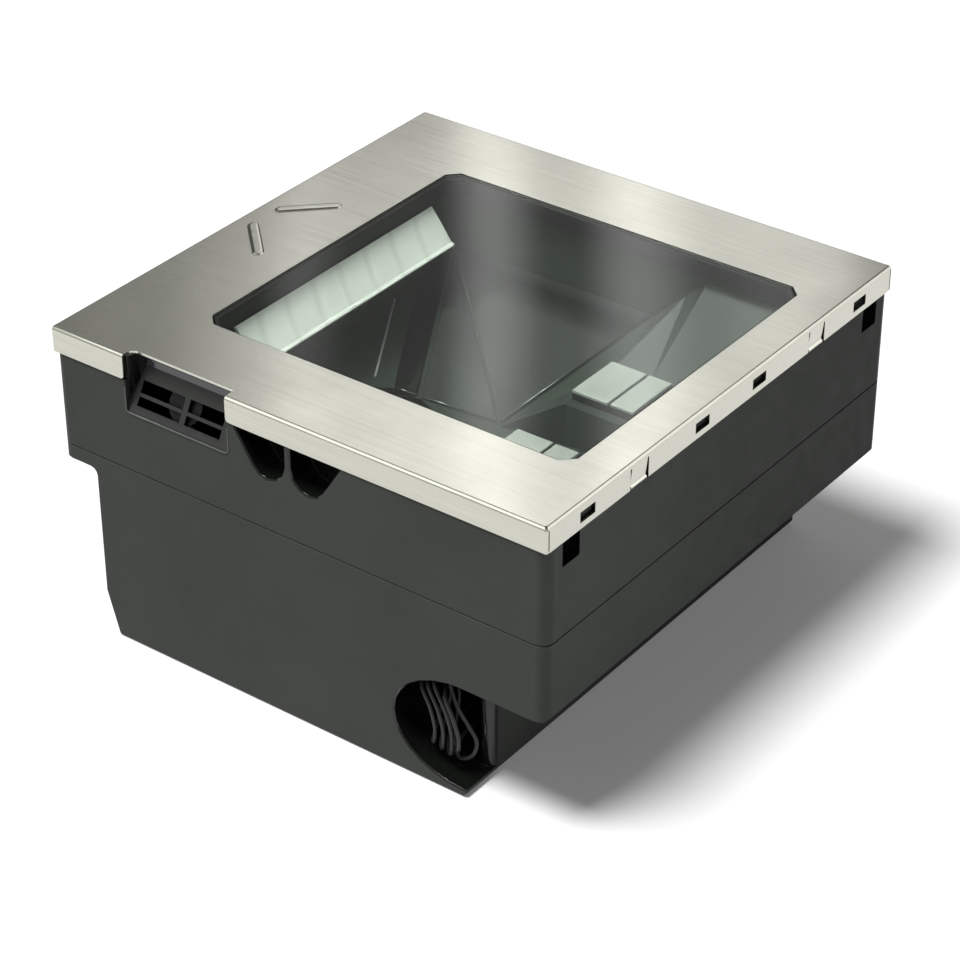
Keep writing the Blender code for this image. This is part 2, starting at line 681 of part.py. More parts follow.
def grille_slots():
    """The four slots through the sloped wall of the recess."""
    foot, up, inward = slope_axes()
    ends = [RECESS[0] + x for x in GRILLE_IN]
    for left, right in (ends[:2], ends[2:]):
        for low, high in (GRILLE_UP[:2], GRILLE_UP[2:]):
            rings = []
            for depth in (-2 * PAST, POCKET_WALL + PAST):
                ring = []
                for x, s in ((left, low), (right, low), (right, high), (left, high)):
                    place = foot + up * s + inward * depth
                    ring.append((x, place.y, place.z))
                rings.append(ring)
            yield solid("slot", rings)


def flared(outline, wall, back):
    """A pocket in the front face with a chamfered mouth, or the wall round it where wall is its thickness."""
    points = [Vector((x, z, 0.0)) for x, z in outline]
    mouth = ((-HALF - 2 * PAST, EDGE_FLARE), (-BODY, EDGE_FLARE), (-BODY + EDGE_FLARE, 0.0))
    rings = []
    for y, grow in mouth + ((back + wall, 0.0),):
        rings.append([(p.x, y, p.y) for p in held_in(points, Vector((0, 0, 1)), -wall - grow)])
    return solid("pocket", rings)


def finger_recess(wall, side):
    """One finger recess, or the wall round it."""
    outline = [(FINGER_X + across, PLATE_TOP - drop) for across, drop in FINGER_OUTLINE]
    if side < 0:
        outline = mirrored_outline(outline, FINGER_X)
    return flared(outline, wall, -HALF + FINGER_DEEP)


def side_pocket(grow, side, y):
    """One pocket in the housing's side, or the wall round it."""
    reach = POCKET_W / 2 + grow
    x = sorted((side * (HALF + PAST), side * (BODY - POCKET_DEEP - grow)))
    low, high = (PLATE_TOP - drop for drop in POCKET_DROP)
    return block("pocket", x, (y - reach, y + reach), (low - grow, high + grow))


def pocket_places():
    """Side and place of each side pocket."""
    return [(side, end * (HALF - POCKET_IN)) for side in SIDES for end in SIDES]


def screw_hole(name, place, low, high, radius=SCREW_HOLE_R):
    """A round tool along Z."""
    return prism(name, circle(place[0], place[1], radius), low, high)


def make_upper_housing(look):
    """The upper moulding: skirt, neck under the cover, deck with its opening, recesses and screw columns."""
    body = prism("upper_housing", square(BODY, BODY_R), PART_HIGH, NECK_Z)
    joined(body, prism("neck", square(NECK, NECK_R), NECK_Z - WALL, DECK_TOP))

    inner, inner_r = BODY - WALL, BODY_R - WALL
    void = prism("void", square(inner, inner_r), PART_HIGH - PAST, NECK_Z - WALL)
    upper_void = prism("upper_void", square(NECK - NECK_WALL, NECK_R - NECK_WALL), NECK_Z - 2 * WALL, DECK_Z)
    joined(void, upper_void)
    cut(void, recess("recess_wall", POCKET_WALL, -HALF - 2 * PAST))
    cut(void, *[finger_recess(POCKET_WALL, side) for side in SIDES])
    cut(void, *[side_pocket(POCKET_WALL, side, y) for side, y in pocket_places()])
    for place in HOUSING_SCREWS:
        cut(void, prism("column", circle(*place, BOSS_R), PART_HIGH, DECK_Z + PAST))
    for place in CHASSIS_SCREWS:
        cut(void, prism("column", circle(*place, BOSS_R), RIM_Z + CLEAR, DECK_Z + PAST))
    cut(body, void)

    opening = grown(WINDOW, FRAME_RIM + DECK_GAP)
    cut(body, prism("opening", octagon(opening), DECK_Z - PAST, DECK_TOP + PAST))
    cut(body, recess("recess", 0.0, -HALF - 2 * PAST), *grille_slots())
    cut(body, block("lens_hole", (LENS_X[0] - CLEAR, LENS_X[1] + CLEAR),
                    (RECESS_Y - PAST, RECESS_Y + POCKET_WALL + PAST), (LENS_Z[0] - CLEAR, LENS_Z[1] + CLEAR)))
    cut(body, *[finger_recess(0.0, side) for side in SIDES])
    cut(body, *[side_pocket(0.0, side, y) for side, y in pocket_places()])

    rebate = square(inner + LIP_WALL + CLEAR, inner_r + LIP_WALL)
    cut(body, prism("rebate", rebate, PART_HIGH - PAST, PART_LOW + LIP_HIGH + CLEAR))
    cut(body, *[screw_hole("hole", p, PART_HIGH - PAST, PART_HIGH + SCREW_DEEP) for p in HOUSING_SCREWS])
    reach = RIM_Z + CHASSIS_SCREW_REACH + PAST
    cut(body, *[screw_hole("hole", place, RIM_Z - PAST, reach) for place in CHASSIS_SCREWS])
    return dressed(body, look["housing"])


def front_profile(inset, top):
    """The lower housing seen from the front, moved inwards by a wall."""
    left, right = TUB_LEFT + inset, TUB_RIGHT - inset
    low = TUB_Z + inset
    shelf, hang = SHELF_Z + inset, TUB_H + inset
    edge = BODY - inset
    fillet = INNER_R + inset
    inner = [(x, z) for x, z in reversed(circle(left - fillet, shelf - fillet, fillet, 4, 0, 90))]
    corner = TUB_EDGE
    return [
        (-edge, top), (-edge, shelf), *inner, (left, TUB_SLANT_Z), (left + TUB_SLANT, low),
        (right - corner, low), (right, low + corner), (right, hang - corner), (right + corner, hang),
        (edge - corner, hang), (edge, hang + corner), (edge, top),
    ]


def alcove(wall):
    """The scoop for the cables: an ellipse seen from the front, closed at the right behind the nose."""
    turn = [2 * math.pi * i / ALCOVE_SIDES for i in range(ALCOVE_SIDES)]
    ellipse = [(ALCOVE_X + ALCOVE_A * math.cos(a), ALCOVE_Z + ALCOVE_B * math.sin(a)) for a in turn]
    scoop = flared(ellipse, wall, ALCOVE_Y)
    front, back = -HALF - 3 * PAST, ALCOVE_Y + wall
    left = ALCOVE_X - ALCOVE_A - wall - 2 * PAST
    if wall:
        plan = [(left, front), (TUB_RIGHT + PAST, front), (TUB_RIGHT + PAST, back)]
    else:
        nose_r = ALCOVE_SIDE / 2
        nose_y = -HALF + NOSE_DEEP + nose_r
        beyond = HALF + PAST
        plan = [(left, front), (beyond, front), (beyond, nose_y)]
        plan += reversed(circle(TUB_RIGHT - nose_r, nose_y, nose_r, 7, 180, 360))
        side = TUB_RIGHT - ALCOVE_SIDE
        plan += circle(side - ALCOVE_R, back - ALCOVE_R, ALCOVE_R, 4, 0, 90)
    plan += circle(left + ALCOVE_R, back - ALCOVE_R, ALCOVE_R, 4, 90, 180)
    return common(scoop, prism("plan", plan, -WALL - PAST, TUB_H + wall))


def board_posts():
    """Corners of the main board where its posts stand."""
    return [
        (x, y) for x in (BOARD_X[0] + POST_IN, BOARD_X[1] - POST_IN)
        for y in (BOARD_Y[0] + POST_IN, BOARD_Y[1] - POST_IN)
    ]


def make_lower_housing(look):
    """The lower moulding: tub, left shelf, right overhang, lip, alcove, posts and screw columns."""
    beyond = HALF + 2 * PAST
    body = prism("lower_housing", front_profile(0.0, PART_LOW), -BODY, BODY, "Y")
    common(body, prism("plan", square(BODY, BODY_R), -PAST, PART_Z + PAST))
    behind = block("behind", (-beyond, TUB_RIGHT + PAST), (TUB_BACK, beyond), (-PAST, TUB_H))
    cut(body, behind)
    inner, inner_r = BODY - WALL, BODY_R - WALL
    lip = prism("lip", square(inner + LIP_WALL, inner_r + LIP_WALL), PART_LOW - 2 * PAST, PART_LOW + LIP_HIGH)
    joined(body, lip)

    over = PART_LOW + LIP_HIGH + PAST
    void = prism("void", front_profile(WALL, over), -inner, inner, "Y")
    common(void, prism("plan", square(inner, inner_r), -PAST, over + PAST))
    cut(void, block("behind", (-beyond, TUB_RIGHT + PAST), (TUB_BACK - WALL, beyond), (-PAST, TUB_H + WALL)))
    cut(void, alcove(WALL))
    for place in HOUSING_SCREWS:
        cut(void, prism("column", circle(*place, BOSS_R), 0, PART_LOW))
    for place in board_posts():
        cut(void, prism("post", circle(*place, POST_R), 0, BOARD_Z - CLEAR))
    cut(body, void, alcove(0.0))

    for place in HOUSING_SCREWS:
        under = screw_seat(place)
        cut(body, screw_hole("head", place, under - PAST, under + HEAD_H + CLEAR, HEAD_R + CLEAR))
        cut(body, screw_hole("hole", place, under, PART_Z + LIP_HIGH))
    cut(body, *[screw_hole("foot", place, -PAST, FOOT_H + CLEAR, FOOT_R + CLEAR) for place in FEET])
    through = (ALCOVE_Y - PAST, ALCOVE_Y + WALL + PAST)
    for x, wide in zip(JACK_X, JACK_W):
        reach = wide / 2 + CLEAR
        top = BOARD_TOP + JACK_H + 2 * CLEAR
        cut(body, block("jack_hole", (x - reach, x + reach), through, (BOARD_TOP, top)))
    for x in GROMMET_X:
        cut(body, prism("grommet_hole", circle(x, GROMMET_Z, GROMMET_R + CLEAR), *through, "Y"))
    return dressed(body, look["housing"])


def screw_seat(place):
    """Height of the surface that a housing screw goes in from."""
    return SHELF_Z if place[0] < 0 else TUB_H


def make_feet(look):
    """The rubber feet in the pockets of the tub's underside."""
    for number, place in enumerate(FEET, 1):
        rings = [
            [(x, y, z) for x, y in circle(*place, radius, 16)]
            for z, radius in ((0.0, FOOT_R - FOOT_EDGE), (FOOT_EDGE, FOOT_R), (FOOT_H, FOOT_R))
        ]
        dressed(solid(f"foot_{number}", rings), look["rubber"], True)


# Optics


def chassis_points():
    """The facet corners of the rear half, by name, with the two on the centre line."""
    near, far = CHANNEL_X
    fold_z, floor_z = RIM_Z - FOLD_DEEP, RIM_Z - TROUGH_DEEP
    corner_x = RIM_RIGHT - CORNER_IN
    slope_z = RIM_Z - SLOPE_DEEP
    trough_x = RIM_RIGHT - TROUGH_IN
    module_edge = MODULE_Y[1] + MODULE_EDGE
    left_apex, right_apex = (RIM_LEFT + (trough_x - RIM_LEFT) * share for share in APEX_SHARE)
    back = Vector((RIM_LEFT, RIM_Y, fold_z))
    apex = Vector((right_apex, 0.0, RIM_Z - APEX_DEEP[1]))
    strip_apex = Vector((left_apex, 0.0, RIM_Z - APEX_DEEP[0]))
    tilt = (apex - back).cross(strip_apex - back)
    strip_z = fold_z + STRIP_SIDE * tilt.y / tilt.z
    rear = {
        "left_back": tuple(back),
        "fold_end": (RIM_RIGHT - FOLD_IN, RIM_Y, fold_z),
        "trough": (trough_x, TROUGH_HALF, floor_z),
        "strip": (RIM_LEFT, RIM_Y - STRIP_SIDE, strip_z),
        "gate_low": (near, CHANNEL_HALF, floor_z),
        "gate_top": (near, CHANNEL_HALF, SHELF_TOP),
        "shelf_left": (near, module_edge, SHELF_TOP),
        "shelf_mid": ((MODULE_X[1] + MODULE_X[2]) / 2, module_edge, SHELF_TOP),
        "shelf_right": (far, module_edge, SHELF_TOP),
        "end_top": (far, CHANNEL_HALF, SHELF_TOP),
        "end_low": (far, CHANNEL_HALF, floor_z),
        "corner": (corner_x, RIM_Y, RIM_Z - CORNER_DEEP),
        "corner_top": (corner_x + CORNER_RUN, RIM_Y, slope_z),
        "slope": (RIM_RIGHT, RIM_Y, slope_z),
        "rim_left": (RIM_LEFT, RIM_Y, RIM_Z),
        "rim_right": (RIM_RIGHT, RIM_Y, RIM_Z),
    }
    return rear, {"strip_apex": tuple(strip_apex), "apex": tuple(apex)}


def make_chassis(look):
    """The moulded dish: facets mirrored about the centre line, walls, rim flange, and the camera's hole."""
    points, centre_line = chassis_points()
    body = bmesh.new()
    rear = {name: body.verts.new(Vector(p) * MM) for name, p in points.items()}
    front = {name: body.verts.new(Vector((p[0], -p[1], p[2])) * MM) for name, p in points.items()}
    middle = {name: body.verts.new(Vector(p) * MM) for name, p in centre_line.items()}
    halves = [
        ("left_back", "fold_end", "trough"),
        ("left_back", "trough", "apex"),
        ("left_back", "apex", "strip_apex", "strip"),
        ("fold_end", "shelf_left", "trough"),
        ("shelf_left", "gate_top", "trough"),
        ("trough", "gate_top", "gate_low"),
        ("gate_top", "end_top", "end_low", "gate_low"),
        ("gate_top", "shelf_left", "shelf_mid", "shelf_right", "end_top"),
        ("fold_end", "corner", "shelf_left"),
        ("corner", "shelf_mid", "shelf_left"),
        ("corner", "corner_top", "shelf_mid"),
        ("corner_top", "shelf_right", "shelf_mid"),
        ("corner_top", "slope", "shelf_right"),
        ("left_back", "rim_left", "rim_right", "slope", "corner_top", "corner", "fold_end"),
    ]
    for half in (rear, front):
        corners = {**half, **middle}
        for names in halves:
            body.faces.new([corners[name] for name in names])
    across = [
        ["rear strip", "strip_apex", "front strip"],
        ["rear trough", "apex", "front trough"],
        ["rear trough", "rear gate_low", "rear end_low", "front end_low", "front gate_low", "front trough"],
        ["rear end_low", "rear end_top", "front end_top", "front end_low"],
        ["rear shelf_right", "rear slope", "front slope", "front shelf_right", "front end_top",
         "rear end_top"],
        ["rear left_back", "rear strip", "front strip", "front left_back", "front rim_left", "rear rim_left"],
        ["rear slope", "rear rim_right", "front rim_right", "front slope"],
    ]
    named = {
        **middle, **{"rear " + n: v for n, v in rear.items()}, **{"front " + n: v for n, v in front.items()},
    }
    for names in across:
        body.faces.new([named[name] for name in names])
    bmesh.ops.recalc_face_normals(body, faces=body.faces)
    floor = max(body.faces, key=lambda f: -f.calc_center_median().z)
    if floor.normal.z < 0:
        bmesh.ops.reverse_faces(body, faces=body.faces)
    bmesh.ops.triangulate(body, faces=body.faces)
    chassis = linked("optical_chassis", body)
    wall = chassis.modifiers.new("Wall", "SOLIDIFY")
    wall.thickness = CHASSIS * MM
    wall.offset = -1.0
    wall.use_even_offset = True
    side = RIM_Y + CHASSIS_SIDE
    flange = (RIM_LEFT - CHASSIS_FLANGE, NECK - NECK_WALL - CHASSIS_END, -side, side)
    ring = prism("flange", rectangle(*flange), RIM_Z - CHASSIS, RIM_Z)
    cut(ring, prism("inside", rectangle(*RIM), RIM_Z - CHASSIS - PAST, RIM_Z + PAST))
    joined(chassis, ring)
    end = CHANNEL_X[1]
    axis = circle(0, CAMERA_Z, BARREL_R + CLEAR, 20)
    hole = prism("hole", axis, end - PAST, end + CHASSIS + PAST, "X")
    seat = MOUNT_HALF + CLEAR
    mount_seat = block("seat", (end + CHASSIS, end + CHASSIS + MOUNT_DEEP + 2 * PAST), (-seat, seat),
                       (CAMERA_Z - seat, CAMERA_Z + seat))
    low, high = RIM_Z - CHASSIS - PAST, RIM_Z + PAST
    cut(chassis, hole, mount_seat, *[screw_hole("hole", place, low, high) for place in CHASSIS_SCREWS])
    return dressed(chassis, look["chassis"])


def make_mirrors(look):
    """The glass mirrors that lie on the chassis facets, a rear and a front one of each."""
    points, middle = chassis_points()
    facets = {
        "fold_mirror": [points["left_back"], points["fold_end"], points["trough"]],
        "side_mirror": [points["left_back"], points["trough"], middle["apex"]],
        "strip_mirror": [points["left_back"], middle["apex"], middle["strip_apex"], points["strip"]],
    }
    for name, corners in facets.items():
        for half, sign in (("rear", 1), ("front", -1)):
            placed = [(x, sign * y, z) for x, y, z in corners]
            plate = plate_on(f"{half}_{name}", placed, MIRROR_EDGE, CLEAR, MIRROR)
            dressed(plate, look["mirror"])


def make_left_bar(look):
    """The illumination bar on the left: holder, board and diffuser."""
    top, low = (Vector((RIM_LEFT + x, RIM_Z - drop)) for x, drop in (BAR_TOP, BAR_LOW))
    down = (low - top).normalized()
    out = Vector((-down.y, down.x))
    length = (low - top).length

    def at(along, lift):
        return tuple(top + down * along + out * lift)

    diffuser = [at(0, 0), at(length, 0), at(length, -DIFFUSER), at(0, -DIFFUSER)]
    dressed(prism("left_diffuser", diffuser, -BAR_HALF, BAR_HALF, "Y"), look["diffuser"])

    back = RIM_LEFT + CLEAR
    under = DIFFUSER + CLEAR
    foot_z = low.y - BAR_FOOT
    begin, hollow, hollow_end = BAR_SEAT
    seat_low = at(length, -under)
    holder = [(back, RIM_Z - PAST), at(begin, -under), seat_low, (seat_low[0], foot_z), (back, foot_z)]
    body = prism("left_bar_holder", holder, -BAR_HALF, BAR_HALF, "Y")
    void = [
        at(hollow, PAST), at(length - hollow_end, PAST), at(length - hollow_end, -under - PAST),
        (seat_low[0] - hollow_end, foot_z + BAR_WALL), (back + BAR_WALL, foot_z + BAR_WALL),
        (back + BAR_WALL, at(hollow, -under)[1] - 2 * PAST),
    ]
    end = BAR_HALF - BAR_WALL
    dressed(cut(body, prism("void", void, -end, end, "Y")), look["frame"])

    lift = -under - BAR_BOARD_LIFT
    first, last = BAR_BOARD[0], length - BAR_BOARD[1]
    board = [at(first, lift), at(last, lift), at(last, lift - BAR_BOARD_T), at(first, lift - BAR_BOARD_T)]
    dressed(prism("left_bar_board", board, -end + CLEAR, end - CLEAR, "Y"), look["board"])


def make_right_modules(look):
    """The two illumination modules beside the camera channel: holder, board and two diffusers each."""
    low = SHELF_TOP + CLEAR
    top = SHELF_TOP + MODULE_H
    seat = top - DIFFUSER - CLEAR
    wall = MODULE_WALL
    x = (MODULE_X[0], MODULE_X[3])
    for half, sign in (("rear", 1), ("front", -1)):
        def span(inset, way=sign):
            return tuple(sorted((way * (MODULE_Y[0] + inset), way * (MODULE_Y[1] - inset))))

        holder = block(f"{half}_module_holder", x, span(0.0), (low, seat))
        floor = low + MODULE_FLOOR
        holder = cut(holder, block("void", (x[0] + wall, x[1] - wall), span(wall), (floor, seat + PAST)))
        dressed(holder, look["frame"])
        inset = wall + CLEAR
        board_z = (floor + CLEAR, floor + CLEAR + MODULE_BOARD)
        board = block(f"{half}_module_board", (x[0] + inset, x[1] - inset), span(inset), board_z)
        dressed(board, look["board"])
        for part, ends in (("wide", MODULE_X[:2]), ("narrow", MODULE_X[2:])):
            pane = block(f"{half}_{part}_diffuser", ends, span(0.0), (seat + CLEAR, top))
            dressed(pane, look["diffuser"])


def make_camera(look):
    """The camera at the end of the channel: barrel with its lens, mount and sensor board."""
    def tube(name, radii_at):
        rings = [[(x, a, b) for a, b in circle(0, CAMERA_Z, r, 20)] for x, r in radii_at]
        return solid(name, rings)

    end = CHANNEL_X[1]
    front, back = end - BARREL_AT[0], end + BARREL_AT[1]
    barrel = tube("camera_barrel", ((front, BARREL_R - BARREL_EDGE), (front + BARREL_EDGE, BARREL_R),
                                    (back, BARREL_R)))
    bore = BARREL_R - BARREL_WALL
    cut(barrel, tube("bore", ((front - PAST, bore), (back + PAST, bore))))
    dressed(barrel, look["alloy"], True)
    lens = tube("camera_lens", [(front + deep, (bore - CLEAR) * share) for deep, share in CAMERA_LENS])
    dressed(lens, look["lens"], True)

    start = end + CHASSIS + CLEAR
    mount = block("camera_mount", (start, start + MOUNT_DEEP), (-MOUNT_HALF, MOUNT_HALF),
                  (CAMERA_Z - MOUNT_HALF, CAMERA_Z + MOUNT_HALF))
    axis = circle(0, CAMERA_Z, BARREL_R + CLEAR, 20)
    cut(mount, prism("bore", axis, start - PAST, start + MOUNT_DEEP + PAST, "X"))
    dressed(mount, look["frame"])
    behind = max(start + MOUNT_DEEP, back) + CLEAR
    sensor = block("camera_board", (behind, behind + BOARD), (-SENSOR_HALF, SENSOR_HALF),
                   (CAMERA_Z - SENSOR_UP[0], CAMERA_Z + SENSOR_UP[1]))
    dressed(sensor, look["board"])


# Electronics


def make_front_electronics(look):
    """The indicator lens and its board, and the speaker behind the grille."""
    lens_back = RECESS_Y + LENS_DEEP
    dressed(block("indicator_lens", LENS_X, (RECESS_Y - LENS_PROUD, lens_back), LENS_Z), look["lens"])
    board = block("indicator_board", LENS_X, (lens_back + CLEAR, lens_back + CLEAR + BOARD),
                  [PLATE_TOP - drop for drop in INDICATOR_BOARD_DROP])
    dressed(board, look["board"])

    foot, up, inward = slope_axes()
    centre = foot + up * SPEAKER_UP
    x = RECESS[0] + (GRILLE_IN[0] + GRILLE_IN[3]) / 2
    rings = []
    for depth, radius in SPEAKER:
        middle = centre + inward * (POCKET_WALL + CLEAR + depth)
        rings.append([middle + Vector((x + a, 0.0, 0.0)) + up * b for a, b in circle(0, 0, radius, 20)])
    dressed(solid("speaker", rings), look["frame"], True)


def make_main_board(look):
    """The main board on its posts, the heat sink on it, and the two jacks that face the alcove."""
    dressed(block("main_board", BOARD_X, BOARD_Y, (BOARD_Z, BOARD_TOP)), look["board"])
    x = [BOARD_X[1] - i for i in SINK_IN]
    y = [BOARD_Y[1] - i for i in SINK_BACK_IN]
    sink = block("heat_sink", x, y, (BOARD_TOP + CLEAR, BOARD_TOP + SINK_H))
    pitch = (x[1] - x[0]) / (2 * SINK_FINS - 1)
    for i in range(SINK_FINS - 1):
        left = x[0] + pitch * (2 * i + 1)
        cut(sink, block("gap", (left, left + pitch), (y[0] - PAST, y[1] + PAST),
                        (BOARD_TOP + SINK_BASE, BOARD_TOP + SINK_H + PAST)))
    dressed(sink, look["alloy"])
    for name, x, wide in zip(("interface_jack", "power_jack"), JACK_X, JACK_W):
        jack = block(name, (x - wide / 2, x + wide / 2), (ALCOVE_Y + JACK_BACK, BOARD_Y[0] + JACK_ON),
                     (BOARD_TOP + CLEAR, BOARD_TOP + CLEAR + JACK_H))
        dressed(jack, look["frame"])


PLUG_Y = ALCOVE_Y + JACK_BACK - CLEAR  # where the plugs meet the jacks
PLUG_Z = BOARD_TOP + CLEAR + JACK_H / 2


def make_plugs(look):
    """The two plugs in the jacks and the two grommets above them."""
    body, neck = PLUG_SHARE
    end = PLUG_Y - PLUG_DEEP
    for name, x, wide in zip(("interface_plug", "power_plug"), JACK_X, JACK_W):
        rings = []
        for y, share in ((PLUG_Y, body), (end + PLUG_TAPER, body), (end, neck)):
            half_w, half_h = wide / 2 * share, JACK_H / 2 * share
            outline = rectangle(x - half_w, x + half_w, PLUG_Z - half_h, PLUG_Z + half_h)
            rings.append([(a, y, b) for a, b in outline])
        dressed(solid(name, rings), look["rubber"])
    flange, end = GROMMET_DEEP
    wide = GROMMET_R + GROMMET_FLANGE
    stations = (
        (ALCOVE_Y + WALL, GROMMET_R), (ALCOVE_Y - CLEAR, GROMMET_R), (ALCOVE_Y - CLEAR, wide),
        (ALCOVE_Y - flange, wide), (ALCOVE_Y - end, GROMMET_R - CLEAR),
    )
    for name, x in zip(("interface_grommet", "power_grommet"), GROMMET_X):
        rings = [[(a, y, b) for a, b in circle(x, GROMMET_Z, radius)] for y, radius in stations]
        dressed(solid(name, rings), look["rubber"], True)


def cable_knots():
    """The way of each cable: out of its grommet, round its turns in the alcove, and into its plug."""
    turns = []
    for i in range(TURN_KNOT_COUNT):
        knot, step = TURN[i % len(TURN)], TURN_STEP[i % len(TURN)]
        done = TURN_START + i / len(TURN)
        turns.append(tuple(a + b * done for a, b in zip(knot, step)))
    ways = ([*INTERFACE_OUT, *turns, *INTERFACE_BACK], POWER_LOOP)
    out = ALCOVE_Y - GROMMET_DEEP[1] - CLEAR
    plug = PLUG_Y - PLUG_DEEP - CLEAR
    for way, grommet_x, jack_x in zip(ways, GROMMET_X, JACK_X):
        first = [(grommet_x, out, GROMMET_Z), (grommet_x, out - CABLE_LEAD, GROMMET_Z)]
        last = [(jack_x, plug - CABLE_LEAD, PLUG_Z), (jack_x, plug, PLUG_Z)]
        yield first + [(ALCOVE_X + x, y - HALF, ALCOVE_Z + z) for x, y, z in way] + last


def smooth_route(knots):
    """Points at even distances along a smooth curve through the knots, with one more close to each end."""
    knots = [Vector(k) for k in knots]
    ends = [knots[0] * 2 - knots[1]] + knots + [knots[-1] * 2 - knots[-2]]
    fine = []
    for a, b, c, d in zip(ends, ends[1:], ends[2:], ends[3:]):
        for i in range(10):
            t = i / 10
            curve = (2 * a - 5 * b + 4 * c - d) * t * t + (3 * b - a - 3 * c + d) * t ** 3
            fine.append(0.5 * (2 * b + (c - a) * t + curve))
    fine.append(knots[-1])
    run = [0.0]
    for a, b in zip(fine, fine[1:]):
        run.append(run[-1] + (b - a).length)
    spans = CABLE_COUNT - 3
    wanted = [run[-1] * i / spans for i in range(1, spans)]
    wanted = [0.0, CABLE_D, *wanted, run[-1] - CABLE_D, run[-1]]
    route = []
    place = 0
    for want in wanted:
        while place < len(fine) - 2 and run[place + 1] < want:
            place += 1
        share = (want - run[place]) / (run[place + 1] - run[place])
        route.append(fine[place].lerp(fine[place + 1], min(share, 1.0)))
    return route


def make_cables(look):
    """The two cables stowed in the alcove."""
    for name, knots in zip(("interface_cable", "power_cable"), cable_knots()):
        curve = bpy.data.curves.new(name, "CURVE")
        curve.dimensions = "3D"
        curve.bevel_depth = CABLE_D / 2 * MM
        curve.bevel_resolution = 2
        curve.use_fill_caps = True
        route = smooth_route(knots)
        spline = curve.splines.new("POLY")
        spline.points.add(len(route) - 1)
        for point, place in zip(spline.points, route):
            point.co = (*(place * MM), 1.0)
        curve.materials.append(look["cable"])
        bpy.context.scene.collection.objects.link(bpy.data.objects.new(name, curve))


def make_screws(look):
    """The screws that close the housing and the ones that hold the chassis."""
    def screw(name, place, low, high):
        head = low + HEAD_H
        stations = (
            (low, HEAD_R - SCREW_EDGE), (low + SCREW_EDGE, HEAD_R), (head, HEAD_R), (head, SCREW_R),
            (high, SCREW_R),
        )
        rings = [[(x, y, z) for x, y in circle(*place, radius)] for z, radius in stations]
        dressed(solid(name, rings), look["screw"], True)

    for number, place in enumerate(HOUSING_SCREWS, 1):
        screw(f"housing_screw_{number}", place, screw_seat(place), PART_HIGH + SCREW_DEEP - SCREW_SPARE)
    low = RIM_Z - CHASSIS - CLEAR - HEAD_H
    for number, place in enumerate(CHASSIS_SCREWS, 1):
        screw(f"chassis_screw_{number}", place, low, RIM_Z + CHASSIS_SCREW_REACH - CLEAR)


def main():
    """Builds the scanner."""
    for obj in list(bpy.data.objects):
        bpy.data.objects.remove(obj, do_unlink=True)
    look = finishes()
    make_cover(look)
    make_window(look)
    make_upper_housing(look)
    make_lower_housing(look)
    make_feet(look)
    make_chassis(look)
    make_mirrors(look)
    make_left_bar(look)
    make_right_modules(look)
    make_camera(look)
    make_front_electronics(look)
    make_main_board(look)
    make_plugs(look)
    make_cables(look)
    make_screws(look)


main()
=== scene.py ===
"""Studio picture of an in-counter barcode scanner: a folded steel cover with a flush window over a dark housing.

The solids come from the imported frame. This file gives each of them its finish, rounds the edges that catch
the light, models the pieces that need more than the solids hold, and sets up the studio.
"""

import logging
import math
from collections import defaultdict
from collections.abc import Iterator, Sequence
from dataclasses import dataclass, field
from enum import Enum
from typing import Any

import bmesh
import bpy
from mathutils import Matrix, Quaternion, Vector


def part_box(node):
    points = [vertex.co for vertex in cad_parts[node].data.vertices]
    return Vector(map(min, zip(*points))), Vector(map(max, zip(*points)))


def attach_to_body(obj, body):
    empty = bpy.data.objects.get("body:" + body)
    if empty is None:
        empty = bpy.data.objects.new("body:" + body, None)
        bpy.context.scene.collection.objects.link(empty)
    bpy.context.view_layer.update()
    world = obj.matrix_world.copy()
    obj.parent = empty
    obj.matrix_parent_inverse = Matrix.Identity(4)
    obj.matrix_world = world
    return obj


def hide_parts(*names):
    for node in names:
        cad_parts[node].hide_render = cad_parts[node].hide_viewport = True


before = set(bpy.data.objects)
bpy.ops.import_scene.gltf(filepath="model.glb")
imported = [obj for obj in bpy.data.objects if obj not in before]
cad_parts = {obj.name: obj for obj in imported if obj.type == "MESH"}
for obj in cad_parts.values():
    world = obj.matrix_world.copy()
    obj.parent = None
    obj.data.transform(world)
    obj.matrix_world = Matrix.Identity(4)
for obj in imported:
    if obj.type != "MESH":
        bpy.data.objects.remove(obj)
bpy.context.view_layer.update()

LOG = logging.getLogger("scanner")
MM = 0.001
ROOT = "root"
CREASE_DEG = 35.0  # edges sharper than this stay sharp in the shading, and are the ones that are eased

Tree = bpy.types.NodeTree
Socket = bpy.types.NodeSocket
Object = bpy.types.Object
Mesh = bpy.types.Mesh
Inputs = dict[Any, Any]
Point = tuple[float, float, float]
Steps = tuple[tuple[float, float], ...]


def srgb(code: str) -> tuple[float, float, float, float]:
    """Turns a colour of the form rrggbb to linear RGBA.

    Args:
        code: six hexadecimal digits.

    Returns:
        The four linear values, with alpha 1.
    """
    parts = [int(code[i:i + 2], 16) / 255 for i in (0, 2, 4)]
    red, green, blue = (c / 12.92 if c <= 0.04045 else ((c + 0.055) / 1.055) ** 2.4 for c in parts)
    return red, green, blue, 1.0


def add(tree: Tree, kind: str, inputs: Inputs | None = None, **settings: Any) -> bpy.types.Node:
    """Adds one node, sets what it is and fills or links its inputs.

    Args:
        tree: the tree that gets the node.
        kind: the node's type name.
        inputs: values or output sockets, by the input's name or number.
        settings: the node's own properties.

    Returns:
        The new node.
    """
    node = tree.nodes.new(kind)
    for key, value in settings.items():
        setattr(node, key, value)
    for key, value in (inputs or {}).items():
        if isinstance(value, Socket):
            tree.links.new(value, node.inputs[key])
        else:
            node.inputs[key].default_value = value
    return node


